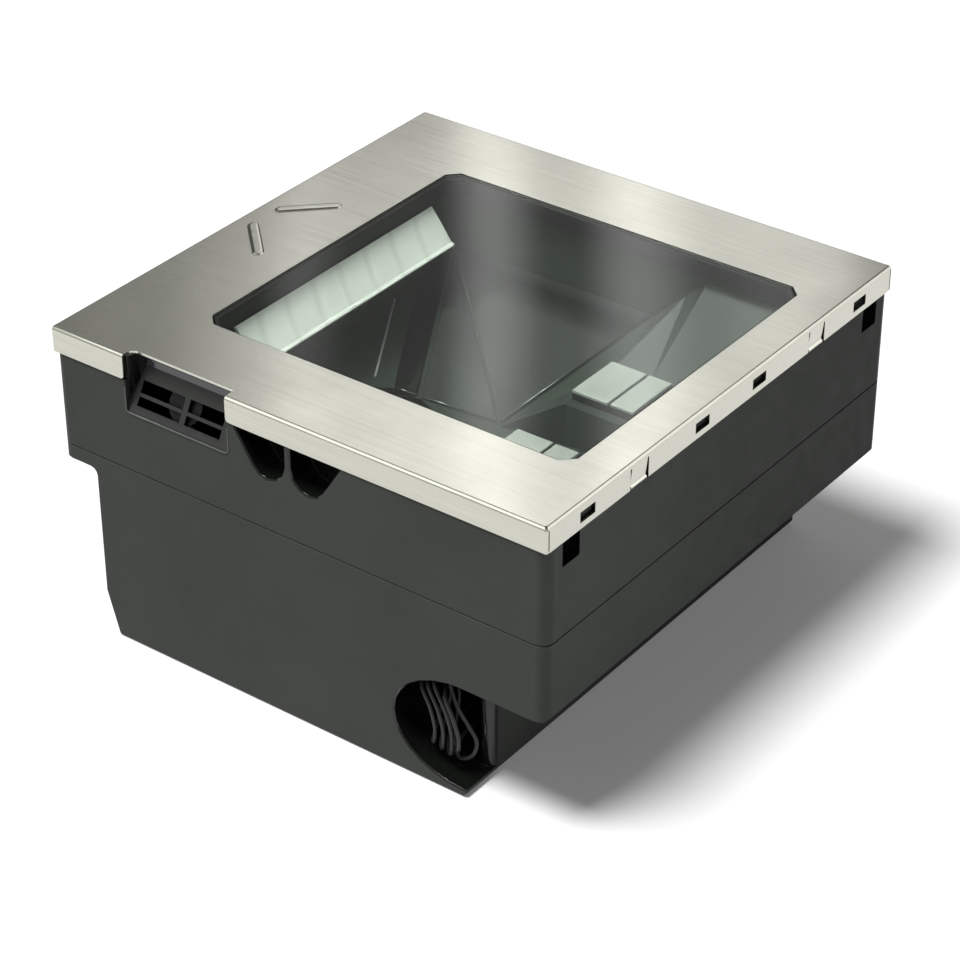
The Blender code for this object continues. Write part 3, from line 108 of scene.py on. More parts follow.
def per_metre(millimetres: float) -> float:
    """The scale of a texture whose features are this many millimetres across."""
    return 1.0 / (millimetres * MM)


class Slot(Enum):
    """The material slots of the record."""

    STEEL = "steel"
    GLASS = "glass"
    RUBBER = "rubber"
    FRAME = "frame"
    HOUSING = "housing"
    CHASSIS = "chassis"
    MIRROR = "mirror"
    DIFFUSER = "diffuser"
    BOARD = "board"
    ALLOY = "alloy"
    LENS = "lens"
    CABLE = "cable"
    SCREW = "screw"


class Zone(Enum):
    """Places on a piece, and small pieces on it, whose finish differs from their slot's."""

    CAVITY = "cavity"
    GRILLE = "grille"
    RIM = "rim"
    PANEL = "panel"
    RIDGE = "ridge"


@dataclass(frozen=True)
class Finish:
    """What all finishes share: a name, a colour and a roughness."""

    name: str
    colour: str
    roughness: float

    def material(self) -> bpy.types.Material:
        """Builds the material.

        Returns:
            A material with its nodes in place.
        """
        made = bpy.data.materials.new(self.name)
        made.use_nodes = True
        tree = made.node_tree
        tree.nodes.clear()
        place = add(tree, "ShaderNodeTexCoord").outputs["Object"]
        add(tree, "ShaderNodeOutputMaterial", {"Surface": self.shader(tree, place)})
        return made

    def shader(self, tree: Tree, place: Socket) -> Socket:
        """Builds the shader.

        Args:
            tree: the material's tree.
            place: the object coordinates.

        Returns:
            The socket that goes to the surface.
        """
        inputs = {"Roughness": self.roughness, **self.look(tree, place)}
        return add(tree, "ShaderNodeBsdfPrincipled", inputs).outputs[0]

    def look(self, tree: Tree, place: Socket) -> Inputs:
        """Works out what the shader is given.

        Args:
            tree: the material's tree.
            place: the object coordinates.

        Returns:
            The shader's inputs.
        """
        raise NotImplementedError

    def blotches(self, tree: Tree, place: Socket, size_mm: float, low: float, high: float) -> Socket:
        """A soft noise between two values.

        Args:
            tree: the material's tree.
            place: the coordinates that it follows.
            size_mm: how large its patches are.
            low: the value in the dark patches.
            high: the value in the light patches.

        Returns:
            The socket with the value.
        """
        noise = add(tree, "ShaderNodeTexNoise", {"Vector": place, "Scale": per_metre(size_mm), "Detail": 3.0})
        ranged = add(tree, "ShaderNodeMapRange",
                     {"Value": noise.outputs["Fac"], "From Min": 0.3, "From Max": 0.7, "To Min": low, "To Max": high})
        return ranged.outputs["Result"]

    def shaded(self, tree: Tree, value: Socket) -> Socket:
        """The finish's colour, made lighter or darker by a value near 1.

        Args:
            tree: the material's tree.
            value: the socket that multiplies the colour.

        Returns:
            The socket with the colour.
        """
        mixed = add(tree, "ShaderNodeMix", {"Factor": 1.0, 6: srgb(self.colour), 7: value},
                    data_type="RGBA", blend_type="MULTIPLY")
        return mixed.outputs[2]

    def patches(self, tree: Tree, place: Socket, tone: Point, gloss: Point | None = None) -> Inputs:
        """Colour and roughness that differ from patch to patch.

        Args:
            tree: the material's tree.
            place: the object coordinates.
            tone: how large the patches are in mm, and the lowest and highest share of the colour.
            gloss: how large they are in mm, and the least and most that the roughness gains, if it isn't even.

        Returns:
            The shader's inputs.
        """
        inputs: Inputs = {"Base Color": self.shaded(tree, self.blotches(tree, place, *tone))}
        if gloss:
            size, least, most = gloss
            inputs["Roughness"] = self.blotches(tree, place, size, self.roughness + least, self.roughness + most)
        return inputs

    def skin(self, tree: Tree, place: Socket, size_mm: float, detail: float, strength: float,
             deep_mm: float = 0.1) -> Inputs:
        """Fine bumps all over the surface.

        Args:
            tree: the material's tree.
            place: the object coordinates.
            size_mm: how large they are.
            detail: how many finer layers they have.
            strength: how much of them shows, from 0 to 1.
            deep_mm: how deep they are.

        Returns:
            The shader's inputs.
        """
        noise = add(tree, "ShaderNodeTexNoise", {"Vector": place, "Scale": per_metre(size_mm), "Detail": detail})
        bump = add(tree, "ShaderNodeBump", {"Height": noise.outputs["Fac"], "Strength": strength,
                                            "Distance": deep_mm * MM})
        return {"Normal": bump.outputs["Normal"]}


@dataclass(frozen=True)
class BrushedSteel(Finish):
    """Stainless sheet, belt brushed from left to right: fine scratches that draw each reflection out to a band."""

    grain_mm: float = 0.35  # drawn about twice as coarse as a 180 grit belt leaves it, so that it shows
    length_mm: float = 60.0
    streak_mm: float = 2.2  # bundles of deeper scratches
    uneven: float = 0.03  # how much rougher or smoother the scratches are
    band: Point = (-0.6, 0.8, 4.0)  # the way bands run: on the plate as the photo looks, on the flanges upright

    def look(self, tree: Tree, place: Socket) -> Inputs:
        """See Finish.look."""
        grain = self.scratches(tree, place, self.grain_mm, self.length_mm)
        streak = self.scratches(tree, place, self.streak_mm, 3 * self.length_mm)
        rough, fine, broad = (
            add(tree, "ShaderNodeMapRange", {"Value": value, "From Min": 0.5 - half, "From Max": 0.5 + half,
                                             "To Min": low, "To Max": high}).outputs["Result"]
            for value, half, low, high in (
                (grain, 0.2, self.roughness - self.uneven, self.roughness + self.uneven),
                (grain, 0.25, 0.86, 1.09),
                (streak, 0.2, 0.96, 1.03),
            )
        )
        handled = self.blotches(tree, place, 35.0, -0.015, 0.02)
        worn = add(tree, "ShaderNodeMath", {0: rough, 1: handled}, operation="ADD")
        tone = add(tree, "ShaderNodeMath", {0: fine, 1: broad}, operation="MULTIPLY")
        bump = add(tree, "ShaderNodeBump", {"Height": grain, "Strength": 0.08, "Distance": 0.04 * MM})
        band = add(tree, "ShaderNodeCombineXYZ", dict(zip("XYZ", self.band)))
        return {"Base Color": self.shaded(tree, tone.outputs[0]), "Metallic": 1.0, "Roughness": worn.outputs[0],
                "Anisotropic": 0.9, "Tangent": band.outputs[0], "Normal": bump.outputs["Normal"]}

    def scratches(self, tree: Tree, place: Socket, wide_mm: float, long_mm: float) -> Socket:
        """A noise that is drawn out from left to right.

        Args:
            tree: the material's tree.
            place: the object coordinates.
            wide_mm: how wide a scratch is.
            long_mm: how long it is.

        Returns:
            The socket with the value.
        """
        stretch = (per_metre(long_mm), per_metre(wide_mm), per_metre(wide_mm))
        along = add(tree, "ShaderNodeMapping", {"Vector": place, "Scale": stretch}, vector_type="POINT")
        noise = add(tree, "ShaderNodeTexNoise", {"Vector": along.outputs[0], "Scale": 1.0, "Detail": 4.0,
                                                 "Roughness": 0.7})
        return noise.outputs["Fac"]


@dataclass(frozen=True)
class Moulding(Finish):
    """Moulded plastic with a spark eroded texture: a fine even pebble, with faint patches of tone and gloss."""

    grain_mm: float = 0.7
    relief: float = 0.12
    variation: float = 0.06
    gloss: float = 0.5

    def look(self, tree: Tree, place: Socket) -> Inputs:
        """See Finish.look."""
        pebble = add(tree, "ShaderNodeTexVoronoi", {"Vector": place, "Scale": per_metre(self.grain_mm)},
                     feature="SMOOTH_F1")
        bump = add(tree, "ShaderNodeBump", {"Height": pebble.outputs["Distance"], "Strength": self.relief,
                                            "Distance": 0.2 * MM})
        tone = (45.0, 1.0 - self.variation, 1.0 + self.variation)
        return {"Specular IOR Level": self.gloss, "Normal": bump.outputs["Normal"],
                **self.patches(tree, place, tone, (9.0, -0.04, 0.04))}


@dataclass(frozen=True)
class FloatGlass(Finish):
    """Hardened float glass with a faint green body and an anti-reflective coat, which keeps its gloss low."""

    gloss: float = 0.16  # plain glass has 0.5

    def look(self, tree: Tree, place: Socket) -> Inputs:
        """See Finish.look."""
        haze = self.blotches(tree, place, 30.0, self.roughness, self.roughness + 0.015)
        return {"Base Color": srgb(self.colour), "Roughness": haze, "IOR": 1.5, "Specular IOR Level": self.gloss,
                "Transmission Weight": 1.0}

    def shader(self, tree: Tree, place: Socket) -> Socket:
        """Builds the shader: see Finish.shader. Lamps shine through it, as they do through the real pane."""
        pane = super().shader(tree, place)
        clear = add(tree, "ShaderNodeBsdfTransparent", {"Color": srgb(self.colour)})
        shadow = add(tree, "ShaderNodeLightPath").outputs["Is Shadow Ray"]
        return add(tree, "ShaderNodeMixShader", {0: shadow, 1: pane, 2: clear.outputs[0]}).outputs[0]


@dataclass(frozen=True)
class SilveredGlass(Finish):
    """Front silvered fold mirror: a grey reflection that a thin film of dust softens in patches."""

    def look(self, tree: Tree, place: Socket) -> Inputs:
        """See Finish.look."""
        return {"Metallic": 1.0, **self.patches(tree, place, (90.0, 0.92, 1.04), (60.0, 0.0, 0.08))}


@dataclass(frozen=True)
class FrostedAcrylic(Finish):
    """Milky acrylic panel over the lamps: frosted by blasting, and the cups behind it show as faint cells."""

    cell_mm: float = 20.7
    slant: float = 0.42  # how far the cells lean to the front for each millimetre to the right
    start_mm: float = -57.3
    shade_mm: float = 3.5  # how far a cell's darker edge reaches into it

    def look(self, tree: Tree, place: Socket) -> Inputs:
        """See Finish.look."""
        cloud = self.blotches(tree, place, 18.0, 0.95, 1.03)
        parts = add(tree, "ShaderNodeSeparateXYZ", {"Vector": place})
        lean = add(tree, "ShaderNodeMath", {0: parts.outputs["X"], 1: self.slant, 2: parts.outputs["Y"]},
                   operation="MULTIPLY_ADD")
        cell = add(tree, "ShaderNodeMath", {0: lean.outputs[0], 1: self.start_mm * MM}, operation="SUBTRACT")
        within = add(tree, "ShaderNodeMath", {0: cell.outputs[0], 1: self.cell_mm / 2 * MM}, operation="PINGPONG")
        edge = add(tree, "ShaderNodeMapRange", {
            "Value": within.outputs[0], "From Min": 0.0, "From Max": self.shade_mm * MM,
            "To Min": 0.88, "To Max": 1.0,
        }, interpolation_type="SMOOTHSTEP")
        tone = add(tree, "ShaderNodeMath", {0: cloud, 1: edge.outputs["Result"]}, operation="MULTIPLY")
        return {"Base Color": self.shaded(tree, tone.outputs[0]), "Subsurface Weight": 0.15,
                "Subsurface Radius": (0.003, 0.003, 0.003), "Subsurface Scale": 1.0,
                **self.skin(tree, place, 0.5, 2.0, 0.08)}


@dataclass(frozen=True)
class SmokedAcrylic(Finish):
    """Smoked polished acrylic: nearly black with a bluish depth and a clear highlight."""

    def look(self, tree: Tree, place: Socket) -> Inputs:
        """See Finish.look."""
        return {"Coat Weight": 0.6, "Coat Roughness": 0.04,
                **self.patches(tree, place, (12.0, 0.9, 1.1), (4.0, 0.0, 0.05))}


@dataclass(frozen=True)
class SoftRubber(Finish):
    """Moulded rubber: dead black with a dusty bloom that lightens it in patches."""

    def look(self, tree: Tree, place: Socket) -> Inputs:
        """See Finish.look."""
        return {"Specular IOR Level": 0.35, **self.patches(tree, place, (6.0, 0.85, 1.25)),
                **self.skin(tree, place, 0.4, 3.0, 0.15)}


@dataclass(frozen=True)
class SolderMask(Finish):
    """Glass fibre circuit board under green solder mask: copper tracks show as slightly paler lines."""

    track_mm: float = 1.27

    def look(self, tree: Tree, place: Socket) -> Inputs:
        """See Finish.look."""
        cells = add(tree, "ShaderNodeTexBrick", {
            "Vector": place, "Scale": per_metre(10 * self.track_mm), "Mortar Size": 0.03, "Color1": (1, 1, 1, 1),
            "Color2": (0.85, 0.85, 0.85, 1), "Mortar": (1.7, 1.7, 1.7, 1),
        })
        return {"Base Color": self.shaded(tree, cells.outputs["Color"]), "Coat Weight": 0.3, "Coat Roughness": 0.2}


@dataclass(frozen=True)
class MachinedMetal(Finish):
    """Turned or plated metal: fine tool marks break up the highlight."""

    mark_mm: float = 0.25

    def look(self, tree: Tree, place: Socket) -> Inputs:
        """See Finish.look."""
        return {"Metallic": 1.0, **self.patches(tree, place, (5.0, 0.92, 1.06), (3.0, -0.06, 0.06)),
                **self.skin(tree, place, self.mark_mm, 3.0, 0.1, 0.05)}


@dataclass(frozen=True)
class VinylJacket(Finish):
    """Soft PVC cable jacket: dark grey with a satin sheen."""

    def look(self, tree: Tree, place: Socket) -> Inputs:
        """See Finish.look."""
        return {**self.patches(tree, place, (8.0, 0.9, 1.12)), **self.skin(tree, place, 0.6, 2.0, 0.06)}


@dataclass(frozen=True)
class PaperFloor(Finish):
    """White studio paper, faintly uneven. It looks white, and throws less light back than white paper would."""

    lift: float = 0.15  # how much light of its own brings it up to white where it is seen
    dull: str = "848484"  # its colour for the light that it throws back at the object

    def shader(self, tree: Tree, place: Socket) -> Socket:
        """Builds the shader: see Finish.shader. It is also seen in glass and metal."""
        tone = self.blotches(tree, place, 400.0, 0.995, 1.0)
        light = add(tree, "ShaderNodeLightPath").outputs
        seen = light["Is Camera Ray"]
        for ray in ("Is Glossy Ray", "Is Transmission Ray"):
            seen = add(tree, "ShaderNodeMath", {0: seen, 1: light[ray]}, operation="MAXIMUM").outputs[0]
        plain = add(tree, "ShaderNodeMix", {"Factor": seen, 6: srgb(self.dull), 7: self.shaded(tree, tone)},
                    data_type="RGBA")
        made = add(tree, "ShaderNodeBsdfPrincipled", {
            "Base Color": plain.outputs[2], "Roughness": self.roughness, "Specular IOR Level": 0.1,
        })
        strength = add(tree, "ShaderNodeMath", {0: seen, 1: self.lift}, operation="MULTIPLY")
        glow = add(tree, "ShaderNodeEmission", {"Color": srgb(self.colour), "Strength": strength.outputs[0]})
        return add(tree, "ShaderNodeAddShader", {0: made.outputs[0], 1: glow.outputs[0]}).outputs[0]


FINISHES: dict[Slot | Zone, Finish] = {
    Slot.STEEL: BrushedSteel("brushed_stainless_steel", "c7c6bc", 0.17),
    Slot.GLASS: FloatGlass("float_glass", "f3f6f3", 0.0),
    Slot.RUBBER: SoftRubber("black_epdm_rubber", "151615", 0.8),
    Slot.FRAME: Moulding("black_polycarbonate_moulding", "0e0f0f", 0.38, grain_mm=0.5, relief=0.05, gloss=0.3),
    Slot.HOUSING: Moulding("dark_grey_abs_moulding", "4c4f4c", 0.6, gloss=0.1),
    Slot.CHASSIS: Moulding("charcoal_polycarbonate_moulding", "2a312b", 0.34, grain_mm=0.5, relief=0.02, gloss=0.3),
    Slot.MIRROR: SilveredGlass("front_silvered_mirror", "848a87", 0.12),
    Slot.DIFFUSER: FrostedAcrylic("frosted_acrylic", "e0e6de", 0.5),
    Slot.BOARD: SolderMask("solder_masked_board", "1f4a33", 0.45),
    Slot.ALLOY: MachinedMetal("turned_aluminium", "a4a6a8", 0.35),
    Slot.LENS: SmokedAcrylic("smoked_acrylic", "1b2030", 0.12),
    Slot.CABLE: VinylJacket("pvc_cable_jacket", "242624", 0.5),
    Slot.SCREW: MachinedMetal("zinc_plated_steel", "b4b3ae", 0.32),
    # Painted shade: the hollows of the housing, the alcove and the strip under the side flange get a near-black
    # glossy finish.
    Zone.CAVITY: Moulding("polished_black_abs", "0f110f", 0.2, grain_mm=0.9, relief=0.03, variation=0.1),
    # Painted shade with dusty patches: the grille's slope inside the recess is dark grey.
    Zone.GRILLE: Moulding("dusty_black_abs", "232523", 0.45, grain_mm=0.8, relief=0.2, variation=0.2),
    # The square windows are plain: their one cell is wider than the part. Their darker colour is painted shade: a
    # shaded copy of the light bar's frosted acrylic.
    Zone.PANEL: FrostedAcrylic("frosted_acrylic_window", "8a8f89", 0.5, cell_mm=900.0, slant=0.0, start_mm=-450.0),
    # Painted highlight: the bead round the recess is a lighter grey than the housing.
    Zone.RIM: Moulding("burnished_grey_abs", "535653", 0.35, grain_mm=0.9, relief=0.04),
    # Painted highlight: the rib on the dish is pale, as a thin light line.
    Zone.RIDGE: Moulding("worn_polycarbonate_edge", "a9ada8", 0.35, grain_mm=0.9, relief=0.04),
}
LOOKS: dict[Slot | Zone, bpy.types.Material] = {part: finish.material() for part, finish in FINISHES.items()}


def attach(piece: Object, slot: Slot, *nodes: str) -> Object:
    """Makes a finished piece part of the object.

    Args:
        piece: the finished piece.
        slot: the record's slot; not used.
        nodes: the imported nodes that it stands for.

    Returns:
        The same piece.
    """
    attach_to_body(piece, ROOT)
    if nodes:
        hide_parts(*nodes)
    LOG.info("%s: %d faces, for %s", piece.name, len(getattr(piece.data, "polygons", ())), nodes or "no node")
    return piece


def keep(slot: Slot, *nodes: str) -> None:
    """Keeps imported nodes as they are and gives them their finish.

    Args:
        slot: the record's slot that they belong to.
        nodes: their names.
    """
    for node in nodes:
        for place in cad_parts[node].material_slots:
            place.material = LOOKS[slot]
        LOG.info("%s: kept", node)


def put(name: str, data: bpy.types.ID) -> Object:
    """Makes an object and puts it in the scene.

    Args:
        name: its name.
        data: its mesh, curve, lamp or camera.

    Returns:
        The object.
    """
    made = bpy.data.objects.new(name, data)
    bpy.context.scene.collection.objects.link(made)
    return made


def placed(mesh: Mesh, finish: Slot | Zone, smooth_deg: float = CREASE_DEG) -> Object:
    """Puts a mesh in the scene and gives it its finish.

    Args:
        mesh: the mesh, whose name the piece takes.
        finish: its finish.
        smooth_deg: edges sharper than this stay sharp.

    Returns:
        The piece.
    """
    mesh.materials.clear()
    mesh.materials.append(LOOKS[finish])
    mesh.shade_smooth()
    mesh.set_sharp_from_angle(angle=math.radians(smooth_deg))
    return put(mesh.name, mesh)


def applied(piece: Object) -> Mesh:
    """Applies a piece's modifiers.

    Args:
        piece: the piece, which loses its modifiers and keeps its own mesh.

    Returns:
        The mesh that they made.
    """
    bpy.context.view_layer.update()
    mesh = bpy.data.meshes.new_from_object(piece.evaluated_get(bpy.context.evaluated_depsgraph_get()))
    piece.modifiers.clear()
    return mesh


@dataclass(frozen=True)
class Region:
    """A box in millimetres, or all of the piece, whose faces get a zone's finish."""

    zone: Zone
    low: Point = (-math.inf, -math.inf, -math.inf)
    high: Point = (math.inf, math.inf, math.inf)
    facing: Point | None = None  # only faces that look this way, within about 25 degrees

    def holds(self, face: bpy.types.MeshPolygon) -> bool:
        """Whether a face belongs to the region."""
        inside = all(a <= c / MM <= b for a, c, b in zip(self.low, face.center, self.high))
        return inside and (self.facing is None or face.normal.dot(Vector(self.facing).normalized()) > 0.9)


def eased(node: str, name: str, slot: Slot, edge_mm: float, segments: int = 2,
          regions: Sequence[Region] = ()) -> Object:
    """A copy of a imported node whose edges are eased, as a mould or a deburring brush leaves them.

    Args:
        node: the node's name.
        name: the new piece's name.
        slot: the record's slot that it belongs to.
        edge_mm: the width of the eased edge.
        segments: the steps across it.
        regions: where it has another finish, the last one that holds a face being the one that counts.

    Returns:
        The new piece, which stands for the node.
    """
    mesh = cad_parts[node].data.copy()
    mesh.name = name
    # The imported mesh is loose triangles: they are joined, and flat faces are made whole again.
    body = bmesh.new()
    body.from_mesh(mesh)
    bmesh.ops.remove_doubles(body, verts=body.verts, dist=0.00001)
    bmesh.ops.dissolve_limit(body, angle_limit=math.radians(0.4), verts=body.verts, edges=body.edges)
    body.to_mesh(mesh)
    body.free()
    piece = placed(mesh, slot)
    zones = list(dict.fromkeys(region.zone for region in regions))
    for zone in zones:
        mesh.materials.append(LOOKS[zone])
    for face in mesh.polygons:
        for region in regions:
            if region.holds(face):
                face.material_index = 1 + zones.index(region.zone)
    bevel = piece.modifiers.new("Eased edge", "BEVEL")
    bevel.width = edge_mm * MM
    bevel.segments = segments
    bevel.limit_method = "ANGLE"
    bevel.angle_limit = math.radians(CREASE_DEG)
    bevel.use_clamp_overlap = True
    even = piece.modifiers.new("Flat faces stay flat", "WEIGHTED_NORMAL")
    even.keep_sharp = True
    return attach(piece, slot, node)


def shaped(name: str, rings: Sequence[Sequence[Vector]]) -> Mesh:
    """A closed mesh through rings of points in millimetres.

    Args:
        name: the mesh's name.
        rings: each with as many points as the next, or with one where the shape ends in a point.

    Returns:
        The mesh, with its faces outwards.
    """
    body = bmesh.new()
    loops = [[body.verts.new(p * MM) for p in ring] for ring in rings]
    for lower, upper in zip(loops, loops[1:]):
        count = max(len(lower), len(upper))
        for i in range(count):
            after = (i + 1) % count
            corners = (lower[i % len(lower)], lower[after % len(lower)], upper[after % len(upper)],
                       upper[i % len(upper)])
            body.faces.new(list(dict.fromkeys(corners)))
    for end in (loops[0], loops[-1]):
        if len(end) > 2:
            body.faces.new(end)
    bmesh.ops.recalc_face_normals(body, faces=body.faces)
    mesh = bpy.data.meshes.new(name)
    body.to_mesh(mesh)
    body.free()
    return mesh


def turned(name: str, profile: Sequence[tuple[float, float]], sides: int) -> Mesh:
    """A shape turned round the Z axis.

    Args:
        name: the mesh's name.
        profile: radius and height in millimetres, from one pole to the other.
        sides: how many steps it has round the axis.

    Returns:
        The mesh.
    """
    angles = [2 * math.pi * i / sides for i in range(sides)]
    rings = [
        [Vector((radius * math.cos(a), radius * math.sin(a), height)) for a in angles[:sides if radius else 1]]
        for radius, height in profile
    ]
    return shaped(name, rings)


@dataclass(frozen=True)
class Repeat:
    """Geometry Nodes that put a pattern at each point, turned about Z by a drawn angle and stretched along Z."""

    seed: int = 11
    most_turn: float = math.pi

    def tree(self) -> Tree:
        """Builds the node tree.

        Returns:
            The tree, with its pattern, finish, turn and seed as named inputs.
        """
        tree = bpy.data.node_groups.new("repeat", "GeometryNodeTree")
        for name, kind in (("Places", "Geometry"), ("Pattern", "Object"), ("Finish", "Material"),
                           ("Most Turn", "Float"), ("Seed", "Int")):
            tree.interface.new_socket(name=name, in_out="INPUT", socket_type="NodeSocket" + kind)
        tree.interface.new_socket(name="Result", in_out="OUTPUT", socket_type="NodeSocketGeometry")
        given = add(tree, "NodeGroupInput").outputs
        pattern = add(tree, "GeometryNodeObjectInfo", {"Object": given["Pattern"]})
        drawn = add(tree, "FunctionNodeRandomValue", {3: given["Most Turn"], "Seed": given["Seed"]},
                    data_type="FLOAT")
        angles = add(tree, "ShaderNodeCombineXYZ", {"Z": drawn.outputs[1]})
        turn = add(tree, "FunctionNodeEulerToRotation", {"Euler": angles.outputs[0]})
        stretch = add(tree, "GeometryNodeInputNamedAttribute", {"Name": "stretch"}, data_type="FLOAT_VECTOR")
        copies = add(tree, "GeometryNodeInstanceOnPoints", {
            "Points": given["Places"], "Instance": pattern.outputs["Geometry"], "Rotation": turn.outputs[0],
            "Scale": stretch.outputs[0],
        })
        whole = add(tree, "GeometryNodeRealizeInstances", {"Geometry": copies.outputs[0]})
        dressed = add(tree, "GeometryNodeSetMaterial", {"Geometry": whole.outputs[0], "Material": given["Finish"]})
        add(tree, "NodeGroupOutput", {"Result": dressed.outputs[0]})
        return tree

    def run(self, name: str, pattern: Mesh, places: Sequence[Vector], slot: Slot,
            stretches: Sequence[float] | None = None) -> Object:
        """Repeats a pattern.

        Args:
            name: the new piece's name.
            pattern: what is repeated, with its own place at the origin.
            places: where it goes, in metres.
            slot: the finish.
            stretches: how much longer it gets along Z at each place.

        Returns:
            The piece, as one plain mesh.
        """
        points = bpy.data.meshes.new(name + "_places")
        points.from_pydata([tuple(p) for p in places], [], [])
        factors = stretches or [1.0] * len(places)
        points.attributes.new("stretch", "FLOAT_VECTOR", "POINT").data.foreach_set(
            "vector", [value for factor in factors for value in (1.0, 1.0, factor)])
        source, holder = put(name + "_pattern", pattern), put(name + "_holder", points)
        modifier = holder.modifiers.new("Repeat", "NODES")
        modifier.node_group = self.tree()
        values = {"Pattern": source, "Finish": LOOKS[slot], "Most Turn": self.most_turn, "Seed": self.seed}
        for socket in modifier.node_group.interface.items_tree:
            if socket.in_out == "INPUT" and socket.name in values:
                modifier[socket.identifier] = values[socket.name]
        mesh = applied(holder)
        mesh.name = name
        for obj in (source, holder):
            bpy.data.objects.remove(obj, do_unlink=True)
        return placed(mesh, slot)


def middle(node: str) -> tuple[Vector, Vector, Vector]:
    """The lowest corner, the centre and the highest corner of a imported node, in metres."""
    low, high = (Vector(corner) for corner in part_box(node))
    return low, (low + high) / 2, high


@dataclass
class CoverAssembly:
    """The steel cover with its glass, seal and black frame."""

    steel_edge_mm: float = 0.15
    glass_edge_mm: float = 0.4
    frame_edge_mm: float = 0.12

    def build(self) -> None:
        """Builds and dresses the pieces."""
        eased("top_cover", "steel_cover", Slot.STEEL, self.steel_edge_mm)
        eased("window_glass", "window_pane", Slot.GLASS, self.glass_edge_mm, segments=1)
        keep(Slot.RUBBER, "window_gasket")
        eased("window_frame", "window_bezel", Slot.FRAME, self.frame_edge_mm, segments=1)


@dataclass
class Fasteners:
    """Pan head screws with a cross recess: a head for each, and a threaded shank as long as its hole allows."""

    head_r: float = 3.0
    head_h: float = 2.0
    shank_r: float = 1.5
    pitch: float = 0.9
    cross_w: float = 0.9
    cross_reach: float = 0.62  # how far the cross reaches, as a share of the head's radius
    cross_deep: float = 1.3
    cross_taper: float = 0.45  # how wide the cross is at its foot, as a share of its top
    thread: float = 0.3  # how deep the thread is cut
    tip: float = 2.0

    def build(self) -> None:
        """Builds the heads and shanks of both sets of screws."""
        for kind in ("housing", "chassis"):
            nodes = [f"{kind}_screw_{number}" for number in range(1, 5)]
            corners = [middle(node) for node in nodes]
            places = [Vector((centre.x, centre.y, low.z)) for low, centre, _ in corners]
            heads = Repeat().run(f"{kind}_screws", self.head(), places, Slot.SCREW)
            lengths = [(high.z - low.z) / MM - self.head_h for low, _, high in corners]
            longest = max(lengths)
            starts = [place + Vector((0.0, 0.0, self.head_h * MM)) for place in places]
            shanks = Repeat(seed=5).run(f"{kind}_screw_shanks", self.shank(longest), starts, Slot.SCREW,
                                        [length / longest for length in lengths])
            attach(heads, Slot.SCREW, *nodes)
            attach(shanks, Slot.SCREW)

    def head(self) -> Mesh:
        """Builds a screw's head with its recess.

        Returns:
            The head, with its top at the origin and facing down.
        """
        r, h = self.head_r, self.head_h
        profile = [(0.0, 0.0), (0.55 * r, 0.02), (0.8 * r, 0.12), (0.93 * r, 0.32), (r, 0.6), (r, h), (0.0, h)]
        piece = placed(turned("head", profile, 40), Slot.SCREW)
        arm, half = self.cross_reach * r, self.cross_w / 2
        for turn in (0.0, math.pi / 2):
            rings = [
                [Vector((x * math.cos(turn) - y * math.sin(turn), x * math.sin(turn) + y * math.cos(turn), z))
                 for x, y in ((-long, -half), (long, -half), (long, half), (-long, half))]
                for z, long in ((-0.5, arm), (self.cross_deep, arm * self.cross_taper))
            ]
            blade = placed(shaped("blade", rings), Slot.SCREW)
            step = piece.modifiers.new("Recess", "BOOLEAN")
            step.object, step.solver = blade, "EXACT"
            piece.data = applied(piece)
            bpy.data.objects.remove(blade, do_unlink=True)
        mesh = piece.data
        bpy.data.objects.remove(piece, do_unlink=True)
        return mesh

    def shank(self, length: float) -> Mesh:
        """Builds a screw's shank with its thread as rings.

        Args:
            length: how long it is, in millimetres.

        Returns:
            The shank, up from the origin.
        """
        profile = [(0.0, 0.0)]
        for i in range(int((length - self.tip) / self.pitch)):
            z = i * self.pitch
            profile += [(self.shank_r - self.thread, z + 0.05), (self.shank_r, z + self.pitch / 2)]
        profile += [(self.shank_r - 0.35, length - 1.6), (0.5, length), (0.0, length)]
        return turned("shank", profile, 16)


